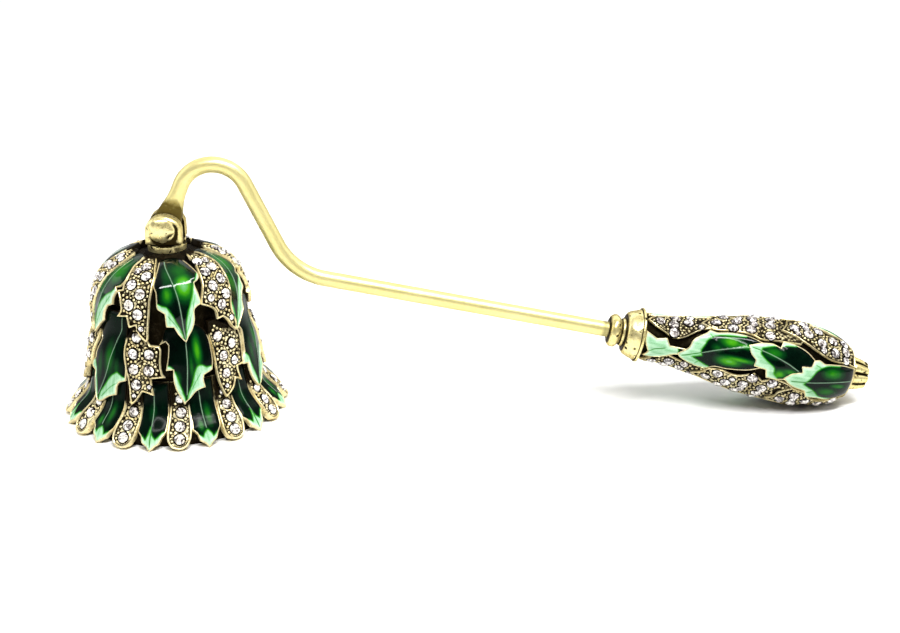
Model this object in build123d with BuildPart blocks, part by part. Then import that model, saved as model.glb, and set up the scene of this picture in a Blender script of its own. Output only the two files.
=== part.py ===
"""Candle snuffer: a leaf-covered bell that swings on a bent wand with a jewelled handle.

Millimetres. Origin at the centre of the bell's mouth, on the surface it stands on.
+X runs from the bell to the handle, +Z up, the hinge pin lies along Y.
"""

from build123d import *
import os
from math import atan2, cos, degrees, hypot, pi, radians, sin

os.makedirs("parts", exist_ok=True)

# ------------------------------------------------------------------ driving dimensions
# Bell: the outline that the leaf tips reach, as (length along the outline from the
# crown, radius, height).
BELL = [
    (0.0, 4.0, 38.7), (2.5, 6.4, 38.4), (5.0, 8.8, 37.75), (7.5, 11.05, 36.8),
    (10.0, 13.15, 35.55), (12.5, 14.9, 33.85), (15.0, 16.1, 31.8), (17.5, 16.9, 29.45),
    (20.0, 17.4, 27.0), (25.0, 18.0, 22.1), (30.0, 18.7, 17.15), (35.0, 19.6, 12.25),
    (38.0, 20.2, 9.3), (40.0, 20.75, 7.4), (42.5, 21.9, 5.2), (45.0, 23.4, 3.15),
    (47.0, 24.6, 1.5), (48.8, 25.5, 0.0),
]
CUP_WALL = 1.4          # wall of the bell cup
CUP_TOP = 38.2          # top of the crown's boss, where the clevis stands
CROWN_T = 2.2           # thickness of the crown under the clevis
LEAF_T = 1.1            # thickness of a leaf plate
RIM_R = 22.2            # outer radius of the cup's flat rim on the table
RIM_IN = 20.8
GAP = 0.01              # between two tiers that touch

# Clevis and hinge
PIN_Z = 43.5            # height of the hinge pin's axis
PIN_R = 1.2
EYE_CLEAR = 0.05        # radial running clearance of the pin in the wand's eye
EAR_R = 4.0             # round top of the ears
EAR_Y = 4.5             # outer faces of the ears
SLOT = 2.5              # width of the slot between the ears
FOOT_R = 5.2
FOOT_TOP = 39.7
STUD_R = 1.5            # threaded stud of the clevis, M3
NUT_AF = 5.5
NUT_T = 2.4

# Wand
ROD_R = 1.75
TANG_W = 6.2            # width of the flattened eye
TANG_T = 2.0            # its thickness
TANG_ANGLE = 67.2       # lean of the wand's end above the horizontal
TANG_A = 5.2            # where the flat of the tang ends, from the pin
TANG_B = 9.4            # where the round rod begins, from the pin
ARCH = (10.55, 68.64)   # corner of the arch, x and z, before rounding
ARCH_R = 7.7
SWAN = (27.61, 32.34)   # corner of the lower bend
SWAN_R = 14.5
ROD_END = 12.0          # depth of the rod's end in the handle, from the collar's face

# Handle: axis start, direction, and the outline that its leaves reach, as (s, r)
H0 = (100.0, 0.0, 18.22)
HD = (0.98153, 0.0, -0.19130)
HANDLE = [
    (6.8, 5.55), (10.0, 5.6), (13.0, 5.75), (16.0, 6.15), (19.0, 6.6), (22.0, 7.1),
    (25.0, 7.75), (28.0, 8.35), (31.0, 8.8), (34.0, 9.1), (37.0, 9.35), (40.0, 9.58),
    (43.0, 9.7), (45.5, 9.6), (48.0, 9.16), (50.8, 8.55), (53.8, 7.4), (55.4, 6.5),
    (56.8, 5.4),
]
HANDLE_LEAF_T = 1.1
TENON_R = 3.6
FINIAL_S = 56.8         # face where the finial stands
FINIAL_END = 61.5

# Stones
STONE_R = 1.1           # 2.2 mm round stones
STONE_UP = 0.4          # crown height above the girdle
STONE_DOWN = 0.45
SEAT_R = 1.13
STONE_SINK = 0.12       # girdle below the leaf's face

AZ_SHIFT = -1.2         # turn of the whole bell pattern about its axis


# ------------------------------------------------------------------ small geometry helpers
def lerp(table, s):
    """Values of a table at s, between its rows."""
    if s <= table[0][0]:
        return table[0][1:]
    for a, b in zip(table, table[1:]):
        if s <= b[0]:
            t = (s - a[0]) / (b[0] - a[0])
            return tuple(p + (q - p) * t for p, q in zip(a[1:], b[1:]))
    return table[-1][1:]


def bell_point(s, inward=0.0):
    """Radius and height on the bell's outline, moved inward along its normal."""
    r, z = lerp(BELL, s)
    r0, z0 = lerp(BELL, max(s - 1.5, 0.0))
    r1, z1 = lerp(BELL, min(s + 1.5, BELL[-1][0]))
    length = hypot(r1 - r0, z1 - z0)
    nr, nz = -(z1 - z0) / length, (r1 - r0) / length
    return r - inward * nr, z - inward * nz, nr, nz


def on_bell(az, s, inward=0.0):
    """Point and outward normal at an azimuth, 0 toward -Y and positive toward +X."""
    r, z, nr, nz = bell_point(s, inward)
    a = radians(az)
    return (
        Vector(r * sin(a), -r * cos(a), z),
        Vector(nr * sin(a), -nr * cos(a), nz),
    )


def bell_plane(az, tilt, z0):
    """Plane on the bell's axis that faces out at an azimuth, tilted upward."""
    a, t = radians(az), radians(tilt)
    return Plane(
        origin=(0, 0, z0),
        x_dir=(cos(a), sin(a), 0),
        z_dir=(cos(t) * sin(a), -cos(t) * cos(a), sin(t)),
    )


H0V, HDV = Vector(*H0), Vector(*HD)
HE1 = Vector(0, -1, 0)
HE2 = Vector(-HD[2], 0, HD[0])
HANDLE_AXIS = Axis(H0, HD)
HANDLE_PLANE = Plane(origin=H0, x_dir=HD, z_dir=(0, -1, 0))


def handle_r(s):
    return lerp(HANDLE, s)[0]


def on_handle(s, theta, inward=0.0):
    """Point and outward normal on the handle, theta 0 toward -Y and 90 upward."""
    slope = (handle_r(s + 1) - handle_r(s - 1)) / 2.0
    n = 1 / hypot(1, slope)
    t = radians(theta)
    out = HE1 * cos(t) + HE2 * sin(t)
    normal = out * n - HDV * (slope * n)
    return H0V + HDV * s + out * handle_r(s) - normal * inward, normal


def ramp(knots):
    """An inset that changes along the outline, from a list of (s, inset)."""
    return lambda s: lerp(knots, s)[0]


def steps(a, b, n):
    return [a + (b - a) * i / n for i in range(n + 1)]


def bell_layer(outer, inner, s0, s1, n=12):
    """Ring between two insets of the bell's outline, from s0 to s1."""
    with BuildPart() as ring:
        with BuildSketch(Plane.XZ):
            with BuildLine():
                o = [bell_point(s, outer(s))[:2] for s in steps(s0, s1, n)]
                i = [bell_point(s, inner(s))[:2] for s in steps(s1, s0, n)]
                top = Spline(*o)
                bottom = Spline(*i)
                Line(top @ 1, bottom @ 0)
                Line(bottom @ 1, top @ 0)
            make_face()
        revolve(axis=Axis.Z)
    return ring.part


def handle_layer(outer, inner, s0, s1, n=14):
    with BuildPart() as ring:
        with BuildSketch(HANDLE_PLANE):
            with BuildLine():
                o = [(s, handle_r(s) - outer) for s in steps(s0, s1, n)]
                i = [(s, handle_r(s) - inner) for s in steps(s1, s0, n)]
                top = Spline(*o)
                bottom = Spline(*i)
                Line(top @ 1, bottom @ 0)
                Line(bottom @ 1, top @ 0)
            make_face()
        revolve(axis=HANDLE_AXIS)
    return ring.part


def flat_points(plane, points):
    out = []
    for p in points:
        q = plane.to_local_coords(p)
        out.append((q.X, q.Y))
    return out


def shrink(points, d):
    """Inset of a closed outline by d, corner by corner, with long corners cut short."""
    n = len(points)
    area = sum(
        points[i][0] * points[(i + 1) % n][1] - points[(i + 1) % n][0] * points[i][1]
        for i in range(n)
    )
    side = 1.0 if area > 0 else -1.0
    out = []
    for i in range(n):
        (ax, ay), (bx, by), (cx, cy) = points[i - 1], points[i], points[(i + 1) % n]
        u = ((bx - ax), (by - ay))
        v = ((cx - bx), (cy - by))
        lu, lv = hypot(*u), hypot(*v)
        nu = (-u[1] / lu * side, u[0] / lu * side)
        nv = (-v[1] / lv * side, v[0] / lv * side)
        mx, my = nu[0] + nv[0], nu[1] + nv[1]
        m2 = mx * mx + my * my
        k = min(2.0 / max(m2, 1e-9), 1.6)
        out.append((bx + mx * d * k, by + my * d * k))
    return out


def prism(plane, points, depth=40.0):
    with BuildPart() as block:
        with BuildSketch(plane):
            with BuildLine():
                Polyline(*points, close=True)
            make_face()
        extrude(amount=depth)
    return block.part


def cut_out(layer, plane, points):
    """The part of a layer that lies under a flat outline."""
    with BuildPart() as piece:
        add(prism(plane, points))
        add(layer, mode=Mode.INTERSECT)
    return piece.part


# One round stone: eight-sided crown with a flat table, and a pointed back.
with BuildPart() as stone_cut:
    with BuildSketch(Plane.XY):
        RegularPolygon(STONE_R, 8)
    extrude(amount=STONE_UP, taper=49)
    with BuildSketch(Plane.XY):
        RegularPolygon(STONE_R, 8)
    extrude(amount=-STONE_DOWN, taper=52)
STONE = stone_cut.part


def seat(position, normal):
    """Round seat for a stone, from below its back to above the leaf's face."""
    with BuildPart() as hole:
        with BuildSketch(
            Plane(origin=position - normal * (STONE_SINK + STONE_DOWN + 0.02), z_dir=normal)
        ):
            Circle(SEAT_R)
        extrude(amount=2.5)
    return hole.part


def placed_stone(position, normal):
    return Plane(origin=position - normal * STONE_SINK, z_dir=normal).location * STONE


# ------------------------------------------------------------------ bell cup
cup_inset = ramp([(0, 1.16), (14.2, 1.16), (17.9, 2.32), (40.8, 2.32), (44.3, 1.07), (49, 1.07)])
cup_outer = [bell_point(s, cup_inset(s))[:2] for s in
             [1.5, 4, 6, 8, 10, 12.2, 14.2, 16, 17.9, 20, 23, 26, 29, 32, 35, 38, 40.8, 42.5, 44.3]]
cup_inner = [bell_point(s, cup_inset(s) + CUP_WALL)[:2] for s in
             [44.3, 42.5, 40.5, 38, 35, 30, 25, 20, 17.5, 15, 12.5, 10, 7, 4]]

with BuildPart() as bell_cup:
    with BuildSketch(Plane.XZ):
        with BuildLine():
            outside = Spline(*cup_outer)
            inside = Spline(*cup_inner)
            Polyline(outside @ 1, (RIM_R, 1.2), (RIM_R, 0), (RIM_IN, 0), (RIM_IN, 1.2), inside @ 0)
            Polyline(inside @ 1, (4.4, CUP_TOP - CROWN_T), (0, CUP_TOP - CROWN_T), (0, CUP_TOP),
                     (4.6, CUP_TOP), outside @ 0)
        make_face()
    revolve(axis=Axis.Z)
    # Hole for the clevis's stud.
    with BuildSketch(Plane.XY.offset(CUP_TOP + 1)):
        Circle(STUD_R + 0.1)
    extrude(amount=-6, mode=Mode.SUBTRACT)
bell_cup.part.label = "bell_cup"
export_step(bell_cup.part, "parts/bell_cup.step")

# ------------------------------------------------------------------ leaf tiers of the bell
# Outlines are (azimuth, length along the bell's outline), traced leaf by leaf.
UPPER_LEAF = [
    (5.5, 5.05), (14.0, 4.85), (25.8, 5.3), (34.8, 6.9), (37.8, 7.9), (39.2, 9.3), (38.4, 10.85),
    (36.0, 11.4), (32.9, 11.9), (32.4, 13.0), (34.2, 16.65), (30.6, 17.1), (28.2, 17.9),
    (27.4, 20.2), (24.6, 22.3), (20.1, 24.6), (15.3, 22.8), (12.65, 21.1), (7.3, 20.95),
    (6.7, 18.1), (1.6, 17.0), (0.6, 14.6), (-1.6, 11.9), (-0.6, 9.4), (1.4, 6.2),
]
UPPER_STONE_LEAF = [
    (-24.0, 4.8), (-14.0, 4.75), (-5.0, 5.1), (-2.4, 7.1), (-1.9, 9.4), (-2.9, 12.2), (-3.8, 15.3),
    (-4.7, 19.6), (-6.8, 24.1), (-12.5, 22.4), (-14.3, 20.7), (-19.4, 21.4), (-21.5, 19.0),
    (-29.0, 19.3), (-26.5, 17.6), (-31.4, 13.9), (-28.0, 13.3), (-28.4, 10.4), (-30.2, 7.3),
    (-28.2, 5.2),
]
MIDDLE_LEAF = [
    (3.4, 18.6), (1.6, 24.9), (6.8, 24.9), (7.0, 27.8), (5.3, 30.7), (10.1, 30.9), (9.9, 33.0),
    (11.4, 35.3), (15.5, 38.3), (23.0, 36.0), (29.7, 35.3), (29.4, 33.4), (35.6, 31.8),
    (36.4, 29.0), (35.4, 24.0), (33.4, 18.6),
]
MIDDLE_STONE_LEAF = [
    (-23.0, 18.6), (-24.8, 26.1), (-22.1, 30.4), (-19.0, 34.7), (-17.3, 38.5), (-10.1, 35.4),
    (-3.0, 36.1), (-4.3, 32.7), (4.5, 32.2), (2.2, 28.9), (0.9, 25.6), (2.6, 18.6),
]
SKIRT_STONE_PETAL = [
    (6.3, 33.6), (5.9, 40.7), (5.0, 43.9), (5.2, 46.0), (6.6, 47.5), (9.0, 48.15), (12.5, 48.25),
    (15.5, 47.4), (17.3, 45.6), (18.2, 42.8), (18.0, 38.3), (17.6, 33.6),
]
SKIRT_ENAMEL_PETAL = [
    (-12.1, 33.6), (-11.7, 38.3), (-11.4, 42.8), (-11.9, 44.2), (-9.4, 45.2), (-8.4, 46.6),
    (-5.9, 47.5), (-4.2, 48.5), (-1.9, 47.3), (0.6, 46.6), (2.2, 45.2), (4.3, 44.2),
    (5.1, 40.7), (5.4, 33.6),
]
UPPER_STONES = [(-14.6, 6.9), (-9.6, 9.9), (-19.4, 12.4), (-10.6, 14.2), (-20.0, 16.4), (-12.0, 18.1)]
MIDDLE_STONES = [(-15.6, 23.6), (-17.3, 27.2), (-5.7, 27.2), (-16.3, 30.6), (-5.7, 30.7), (-14.6, 34.1)]
SKIRT_STONES = [(12.2, 39.6), (11.9, 43.0), (11.4, 46.0)]

upper_out = ramp([(0, 0.0), (50, 0.0)])
upper_stone_out = ramp([(0, 0.22), (50, 0.22)])
upper_in = ramp([(0, 1.1), (50, 1.1)])
middle_out = ramp([(0, 1.12), (24.6, 1.12), (28.6, 0.0), (50, 0.0)])
middle_stone_out = ramp([(0, 1.2), (24.6, 1.2), (28.6, 0.22), (50, 0.22)])
middle_in = ramp([(0, 2.25), (24.6, 2.25), (28.6, 1.12), (50, 1.12)])
skirt_out = ramp([(0, 1.14), (40.5, 1.14), (44.0, 0.0), (50, 0.0)])
skirt_in = ramp([(0, 2.25), (40.5, 2.25), (44.0, 1.0), (50, 1.0)])

upper_layer = bell_layer(upper_out, upper_in, 4.0, 26.0)
upper_stone_layer = bell_layer(upper_stone_out, upper_in, 4.0, 26.0)
middle_layer = bell_layer(middle_out, middle_in, 18.6, 40.2, 14)
middle_stone_layer = bell_layer(middle_stone_out, middle_in, 18.6, 40.2, 14)
skirt_layer = bell_layer(skirt_out, skirt_in, 33.6, 48.8, 10)


def outline_prism(outline, az0, tilt, z0, turn, grow):
    """What stands over a neighbouring leaf, one turn round the bell and slightly grown."""
    plane = bell_plane(az0 + AZ_SHIFT, tilt, z0)
    flat = flat_points(plane, [on_bell(a + AZ_SHIFT, s)[0] for a, s in outline])
    return prism(plane, shrink(flat, -grow)).rotate(Axis.Z, turn)


def leaf(outline, az0, tilt, z0, layer, recess=None, rim=0.0, stones=(), face=None, over=()):
    """One leaf of a tier, with a recess for its enamel or round seats for its stones."""
    plane = bell_plane(az0 + AZ_SHIFT, tilt, z0)
    flat = flat_points(plane, [on_bell(a + AZ_SHIFT, s)[0] for a, s in outline])
    with BuildPart() as one:
        add(cut_out(layer, plane, flat))
        for neighbour, pose, turn in over:
            add(outline_prism(neighbour, *pose, turn, 0.03), mode=Mode.SUBTRACT)
        # Nothing goes below the table.
        split(bisect_by=Plane.XY, keep=Keep.TOP)
        if recess is not None:
            add(cut_out(recess, plane, shrink(flat, rim)), mode=Mode.SUBTRACT)
        for a, s in stones:
            add(seat(*on_bell(a + AZ_SHIFT, s, face(s))), mode=Mode.SUBTRACT)
    return one.part


def enamel(outline, az0, tilt, z0, layer, rim):
    """The enamel that fills one leaf's recess."""
    plane = bell_plane(az0 + AZ_SHIFT, tilt, z0)
    flat = flat_points(plane, [on_bell(a + AZ_SHIFT, s)[0] for a, s in outline])
    return cut_out(layer, plane, shrink(flat, rim + 2 * GAP))


def recess_layer(out, s0, s1, n=12):
    return bell_layer(lambda s: out(s) - 0.6, lambda s: out(s) + 0.55, s0, s1, n)


def enamel_layer(out, s0, s1, n=12):
    return bell_layer(lambda s: out(s) + 0.1, lambda s: out(s) + 0.52, s0, s1, n)


RIM = 0.42              # width of the raised metal edge round the enamel
U_POSE, US_POSE = (18.0, 32, 20.0), (-15.0, 32, 20.0)
M_POSE, MS_POSE = (19.0, 0, 20.0), (-10.0, 0, 20.0)
K_POSE, KS_POSE = (-3.4, 22, 0.0), (11.8, 22, 0.0)

upper_leaf = leaf(UPPER_LEAF, *U_POSE, upper_layer, recess_layer(upper_out, 3.5, 26.5), RIM)
upper_fill = enamel(UPPER_LEAF, *U_POSE, enamel_layer(upper_out, 3.5, 26.5), RIM)
upper_plate = leaf(UPPER_STONE_LEAF, *US_POSE, upper_stone_layer,
                   stones=UPPER_STONES, face=upper_stone_out,
                   over=[(UPPER_LEAF, U_POSE, 0), (UPPER_LEAF, U_POSE, -60)])
middle_leaf = leaf(MIDDLE_LEAF, *M_POSE, middle_layer, recess_layer(middle_out, 18.0, 40.5, 14), RIM)
middle_fill = enamel(MIDDLE_LEAF, *M_POSE, enamel_layer(middle_out, 18.0, 40.5, 14), RIM)
middle_plate = leaf(MIDDLE_STONE_LEAF, *MS_POSE, middle_stone_layer,
                    stones=MIDDLE_STONES, face=middle_stone_out,
                    over=[(MIDDLE_LEAF, M_POSE, 0), (MIDDLE_LEAF, M_POSE, -60)])
skirt_leaf = leaf(SKIRT_ENAMEL_PETAL, *K_POSE, skirt_layer, recess_layer(skirt_out, 33.0, 48.6, 10), RIM)
skirt_fill = enamel(SKIRT_ENAMEL_PETAL, *K_POSE, enamel_layer(skirt_out, 33.0, 48.6, 10), RIM)
skirt_plate = leaf(SKIRT_STONE_PETAL, *KS_POSE, skirt_layer, stones=SKIRT_STONES, face=skirt_out,
                   over=[(SKIRT_ENAMEL_PETAL, K_POSE, 0), (SKIRT_ENAMEL_PETAL, K_POSE, 30)])

with BuildPart() as upper_leaf_frames:
    with PolarLocations(0, 6):
        add(upper_leaf)
upper_leaf_frames.part.label = "upper_leaf_frames"
export_step(upper_leaf_frames.part, "parts/upper_leaf_frames.step")

with BuildPart() as upper_leaf_enamel:
    with PolarLocations(0, 6):
        add(upper_fill)
upper_leaf_enamel.part.label = "upper_leaf_enamel"
export_step(upper_leaf_enamel.part, "parts/upper_leaf_enamel.step")

with BuildPart() as upper_stone_leaves:
    with PolarLocations(0, 6):
        add(upper_plate)
upper_stone_leaves.part.label = "upper_stone_leaves"
export_step(upper_stone_leaves.part, "parts/upper_stone_leaves.step")

with BuildPart() as upper_stones:
    with PolarLocations(0, 6):
        for a, s in UPPER_STONES:
            add(placed_stone(*on_bell(a + AZ_SHIFT, s, upper_stone_out(s))))
upper_stones.part.label = "upper_stones"
export_step(upper_stones.part, "parts/upper_stones.step")

with BuildPart() as middle_leaf_frames:
    with PolarLocations(0, 6):
        add(middle_leaf)
middle_leaf_frames.part.label = "middle_leaf_frames"
export_step(middle_leaf_frames.part, "parts/middle_leaf_frames.step")

with BuildPart() as middle_leaf_enamel:
    with PolarLocations(0, 6):
        add(middle_fill)
middle_leaf_enamel.part.label = "middle_leaf_enamel"
export_step(middle_leaf_enamel.part, "parts/middle_leaf_enamel.step")

with BuildPart() as middle_stone_leaves:
    with PolarLocations(0, 6):
        add(middle_plate)
middle_stone_leaves.part.label = "middle_stone_leaves"
export_step(middle_stone_leaves.part, "parts/middle_stone_leaves.step")

with BuildPart() as middle_stones:
    with PolarLocations(0, 6):
        for a, s in MIDDLE_STONES:
            add(placed_stone(*on_bell(a + AZ_SHIFT, s, middle_stone_out(s))))
middle_stones.part.label = "middle_stones"
export_step(middle_stones.part, "parts/middle_stones.step")

with BuildPart() as skirt_leaf_petals:
    with PolarLocations(0, 12):
        add(skirt_leaf)
skirt_leaf_petals.part.label = "skirt_leaf_petals"
export_step(skirt_leaf_petals.part, "parts/skirt_leaf_petals.step")

with BuildPart() as skirt_petal_enamel:
    with PolarLocations(0, 12):
        add(skirt_fill)
skirt_petal_enamel.part.label = "skirt_petal_enamel"
export_step(skirt_petal_enamel.part, "parts/skirt_petal_enamel.step")

with BuildPart() as skirt_stone_petals:
    with PolarLocations(0, 12):
        add(skirt_plate)
skirt_stone_petals.part.label = "skirt_stone_petals"
export_step(skirt_stone_petals.part, "parts/skirt_stone_petals.step")

with BuildPart() as skirt_stones:
    with PolarLocations(0, 12):
        for a, s in SKIRT_STONES:
            add(placed_stone(*on_bell(a + AZ_SHIFT, s, skirt_out(s))))
skirt_stones.part.label = "skirt_stones"
export_step(skirt_stones.part, "parts/skirt_stones.step")

# ------------------------------------------------------------------ clevis, nut and hinge pin
EAR_OUTLINE_Z = FOOT_TOP - 0.5

with BuildPart() as clevis:
    # Two ears milled from one round bar: a round-topped block cut by a slot.
    with BuildSketch(Plane.XZ):
        with BuildLine():
            Line((-EAR_R, EAR_OUTLINE_Z), (-EAR_R, PIN_Z))
            ThreePointArc((-EAR_R, PIN_Z), (0, PIN_Z + EAR_R), (EAR_R, PIN_Z))
            Line((EAR_R, PIN_Z), (EAR_R, EAR_OUTLINE_Z))
            Line((EAR_R, EAR_OUTLINE_Z), (-EAR_R, EAR_OUTLINE_Z))
        make_face()
    extrude(amount=EAR_Y, both=True)
    ear_edges = clevis.edges().filter_by(GeomType.CIRCLE)
    chamfer(ear_edges, 0.5)
    with BuildSketch(Plane.XY.offset(EAR_OUTLINE_Z)):
        Circle(6.0)
    extrude(amount=12, mode=Mode.INTERSECT)
    with BuildSketch(Plane.XY.offset(FOOT_TOP)):
        Rectangle(12, SLOT)
    extrude(amount=12, mode=Mode.SUBTRACT)
    # Round foot on the crown, with a worn edge.
    with BuildSketch(Plane.XY.offset(CUP_TOP)):
        Circle(FOOT_R)
    extrude(amount=FOOT_TOP - CUP_TOP)
    # Threaded stud down through the crown.
    with BuildSketch(Plane.XY.offset(CUP_TOP)):
        Circle(STUD_R)
    extrude(amount=-(CROWN_T + NUT_T + 0.8))
    # Holes for the pin through both ears.
    with BuildSketch(Plane.XZ.offset(-8)):
        with Locations((0, PIN_Z)):
            Circle(PIN_R)
    extrude(amount=16, mode=Mode.SUBTRACT)
clevis.part.label = "clevis"
export_step(clevis.part, "parts/clevis.step")

NUT_TOP = CUP_TOP - CROWN_T
with BuildPart() as clevis_nut:
    with BuildSketch(Plane.XY.offset(NUT_TOP - NUT_T)):
        RegularPolygon(NUT_AF / 2, 6, major_radius=False)
        Circle(STUD_R, mode=Mode.SUBTRACT)
    extrude(amount=NUT_T)
clevis_nut.part.label = "clevis_nut"
export_step(clevis_nut.part, "parts/clevis_nut.step")

with BuildPart() as hinge_pin:
    with BuildSketch(Plane.YZ):
        with BuildLine():
            y0, y1, y2 = EAR_Y, EAR_Y + 0.55, EAR_Y + 0.95
            Polyline((-y2, PIN_Z), (-y2, PIN_Z + 1.6))
            Spline((-y2, PIN_Z + 1.6), (-y1, PIN_Z + 2.5), (-y0, PIN_Z + 2.8))
            Polyline((-y0, PIN_Z + 2.8), (-y0, PIN_Z + PIN_R), (y0, PIN_Z + PIN_R), (y0, PIN_Z + 2.6))
            Spline((y0, PIN_Z + 2.6), (y1, PIN_Z + 2.3), (y2, PIN_Z + 1.5))
            Polyline((y2, PIN_Z + 1.5), (y2, PIN_Z), (-y2, PIN_Z))
        make_face()
    revolve(axis=Axis((0, 0, PIN_Z), (0, 1, 0)))
hinge_pin.part.label = "hinge_pin"
export_step(hinge_pin.part, "parts/hinge_pin.step")

# ------------------------------------------------------------------ wand
ta = radians(TANG_ANGLE)
tdir = Vector(cos(ta), 0, sin(ta))


def along_tang(d):
    return Vector(0, 0, PIN_Z) + tdir * d


def across_tang(d):
    """Plane square to the tang, its x across the flat and its y through the thickness."""
    return Plane(origin=along_tang(d), x_dir=(sin(ta), 0, -cos(ta)), z_dir=tdir)


rod_start = along_tang(TANG_B)
rod_stop = H0V + HDV * ROD_END

with BuildPart() as wand_rod:
    with BuildLine() as wand_path:
        FilletPolyline(
            rod_start, (ARCH[0], 0, ARCH[1]), (SWAN[0], 0, SWAN[1]), rod_stop,
            radius=[ARCH_R, SWAN_R],
        )
    with BuildSketch(across_tang(TANG_B)):
        Circle(ROD_R)
    sweep(path=wand_path.line)
    # The rod is pressed flat toward the eye.
    with BuildSketch(across_tang(TANG_A)):
        RectangleRounded(TANG_W, TANG_T, TANG_T * 0.46)
    with BuildSketch(across_tang((TANG_A + TANG_B) / 2)):
        RectangleRounded(4.6, 2.75, 2.75 * 0.47)
    with BuildSketch(across_tang(TANG_B)):
        Circle(ROD_R)
    loft()
    with BuildSketch(Plane(origin=(0, -TANG_T / 2, PIN_Z), x_dir=tdir, z_dir=(0, 1, 0))):
        Circle(TANG_W / 2)
        with Locations(((TANG_A + 0.02) / 2, 0)):
            Rectangle(TANG_A + 0.02, TANG_W - 0.5)
    extrude(amount=TANG_T)
    with BuildSketch(Plane.XZ.offset(-4)):
        with Locations((0, PIN_Z)):
            Circle(PIN_R + EYE_CLEAR)
    extrude(amount=8, mode=Mode.SUBTRACT)
wand_rod.part.label = "wand_rod"
export_step(wand_rod.part, "parts/wand_rod.step")

# ------------------------------------------------------------------ collar, core and finial
with BuildPart() as collar:
    with BuildSketch(HANDLE_PLANE):
        with BuildLine():
            bead = Spline((-0.6, 2.2), (-0.1, 3.2), (0.9, 3.68), (1.9, 3.45), (2.45, 2.95))
            cup = Spline((2.75, 2.95), (3.6, 4.1), (4.8, 5.05), (6.0, 5.85), (6.4, 6.05))
            Line(bead @ 1, cup @ 0)
            Polyline(cup @ 1, (6.45, 6.22), (7.0, 6.22), (7.0, 5.62), (6.8, 5.45), (6.8, TENON_R),
                     (4.0, TENON_R), (4.0, ROD_R), (-0.6, ROD_R), bead @ 0)
        make_face()
    revolve(axis=HANDLE_AXIS)
collar.part.label = "collar"
export_step(collar.part, "parts/collar.step")

with BuildPart() as handle_core:
    with BuildSketch(HANDLE_PLANE):
        with BuildLine():
            body = Spline(*[(s, handle_r(s) - HANDLE_LEAF_T - 0.05) for s in steps(6.8, FINIAL_S, 18)])
            Polyline(body @ 1, (FINIAL_S, 0.0), (4.0, 0.0), (4.0, TENON_R), (6.8, TENON_R), body @ 0)
        make_face()
    revolve(axis=HANDLE_AXIS)
    # Blind holes for the rod and for the finial's peg.
    with BuildSketch(Plane(origin=H0V + HDV * 3.0, z_dir=HD)):
        Circle(ROD_R)
    extrude(amount=ROD_END - 3.0, mode=Mode.SUBTRACT)
    with BuildSketch(Plane(origin=H0V + HDV * (FINIAL_S - 4.0), z_dir=HD)):
        Circle(1.5)
    extrude(amount=6, mode=Mode.SUBTRACT)
handle_core.part.label = "handle_core"
export_step(handle_core.part, "parts/handle_core.step")

FINIAL_PLANE = Plane(origin=H0V + HDV * FINIAL_S, x_dir=(0, -1, 0), z_dir=HD)
with BuildPart() as end_finial:
    with BuildSketch(FINIAL_PLANE):
        Circle(4.1)
    with BuildSketch(FINIAL_PLANE.offset(FINIAL_END - FINIAL_S)):
        Circle(2.75)
    loft()
    # Eight flutes down the cone.
    with BuildPart(mode=Mode.PRIVATE) as flute:
        with BuildSketch(FINIAL_PLANE):
            with Locations((4.35, 0)):
                Circle(0.75)
        with BuildSketch(FINIAL_PLANE.offset(FINIAL_END - FINIAL_S)):
            with Locations((2.95, 0)):
                Circle(0.45)
        loft()
    for k in range(8):
        add(flute.part.rotate(HANDLE_AXIS, 45 * k + 22.5), mode=Mode.SUBTRACT)
    with BuildSketch(FINIAL_PLANE):
        Circle(1.5)
    extrude(amount=-4)
end_finial.part.label = "end_finial"
export_step(end_finial.part, "parts/end_finial.step")

# ------------------------------------------------------------------ leaves of the handle
# Outlines are (length along the handle, theta), for the row that faces -Y. The leaves
# point toward the collar and each one lies over the tip side of the next.
LEAF_C = [
    (39.2, -4.5), (40.8, 4.5), (43.1, 9.1), (42.6, 17.0), (44.9, 18.2), (45.4, 27.3),
    (46.7, 29.5), (49.9, 27.3), (53.0, 30.0), (56.2, 32.0), (56.2, -38.0), (51.3, -36.4),
    (49.0, -31.8), (45.8, -29.5), (44.9, -18.2), (41.7, -13.6),
]
LEAF_B = [
    (30.1, 34.1), (32.6, 39.8), (35.4, 42.0), (37.4, 38.5), (37.9, 47.7), (39.9, 46.6),
    (42.6, 40.9), (44.5, 34.0), (44.9, 18.2), (41.0, -4.0), (39.5, -8.0), (35.4, -9.1),
    (34.9, 2.3), (32.0, 4.5), (32.2, 13.6), (30.8, 22.7),
]
LEAF_A = [
    (15.1, -4.5), (17.2, 12.5), (17.9, 29.5), (19.0, 38.6), (20.8, 48.9), (22.0, 54.0),
    (23.4, 49.5), (26.3, 52.3), (29.9, 48.9), (32.4, 41.0), (33.0, 20.0), (33.0, 3.0),
    (31.0, -2.0), (28.8, -8.0), (26.3, -11.4), (23.8, -13.6), (21.7, -23.9), (18.5, -22.7),
    (15.8, -13.6),
]
LEAF_D = [
    (7.4, 34.0), (9.9, 22.0), (12.2, 27.0), (14.5, 20.0), (17.5, 10.0), (17.0, -10.0),
    (14.9, -14.0), (12.6, -22.7), (9.9, -34.0), (8.1, -34.0), (8.5, -18.0), (7.4, 6.0),
]
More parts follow.
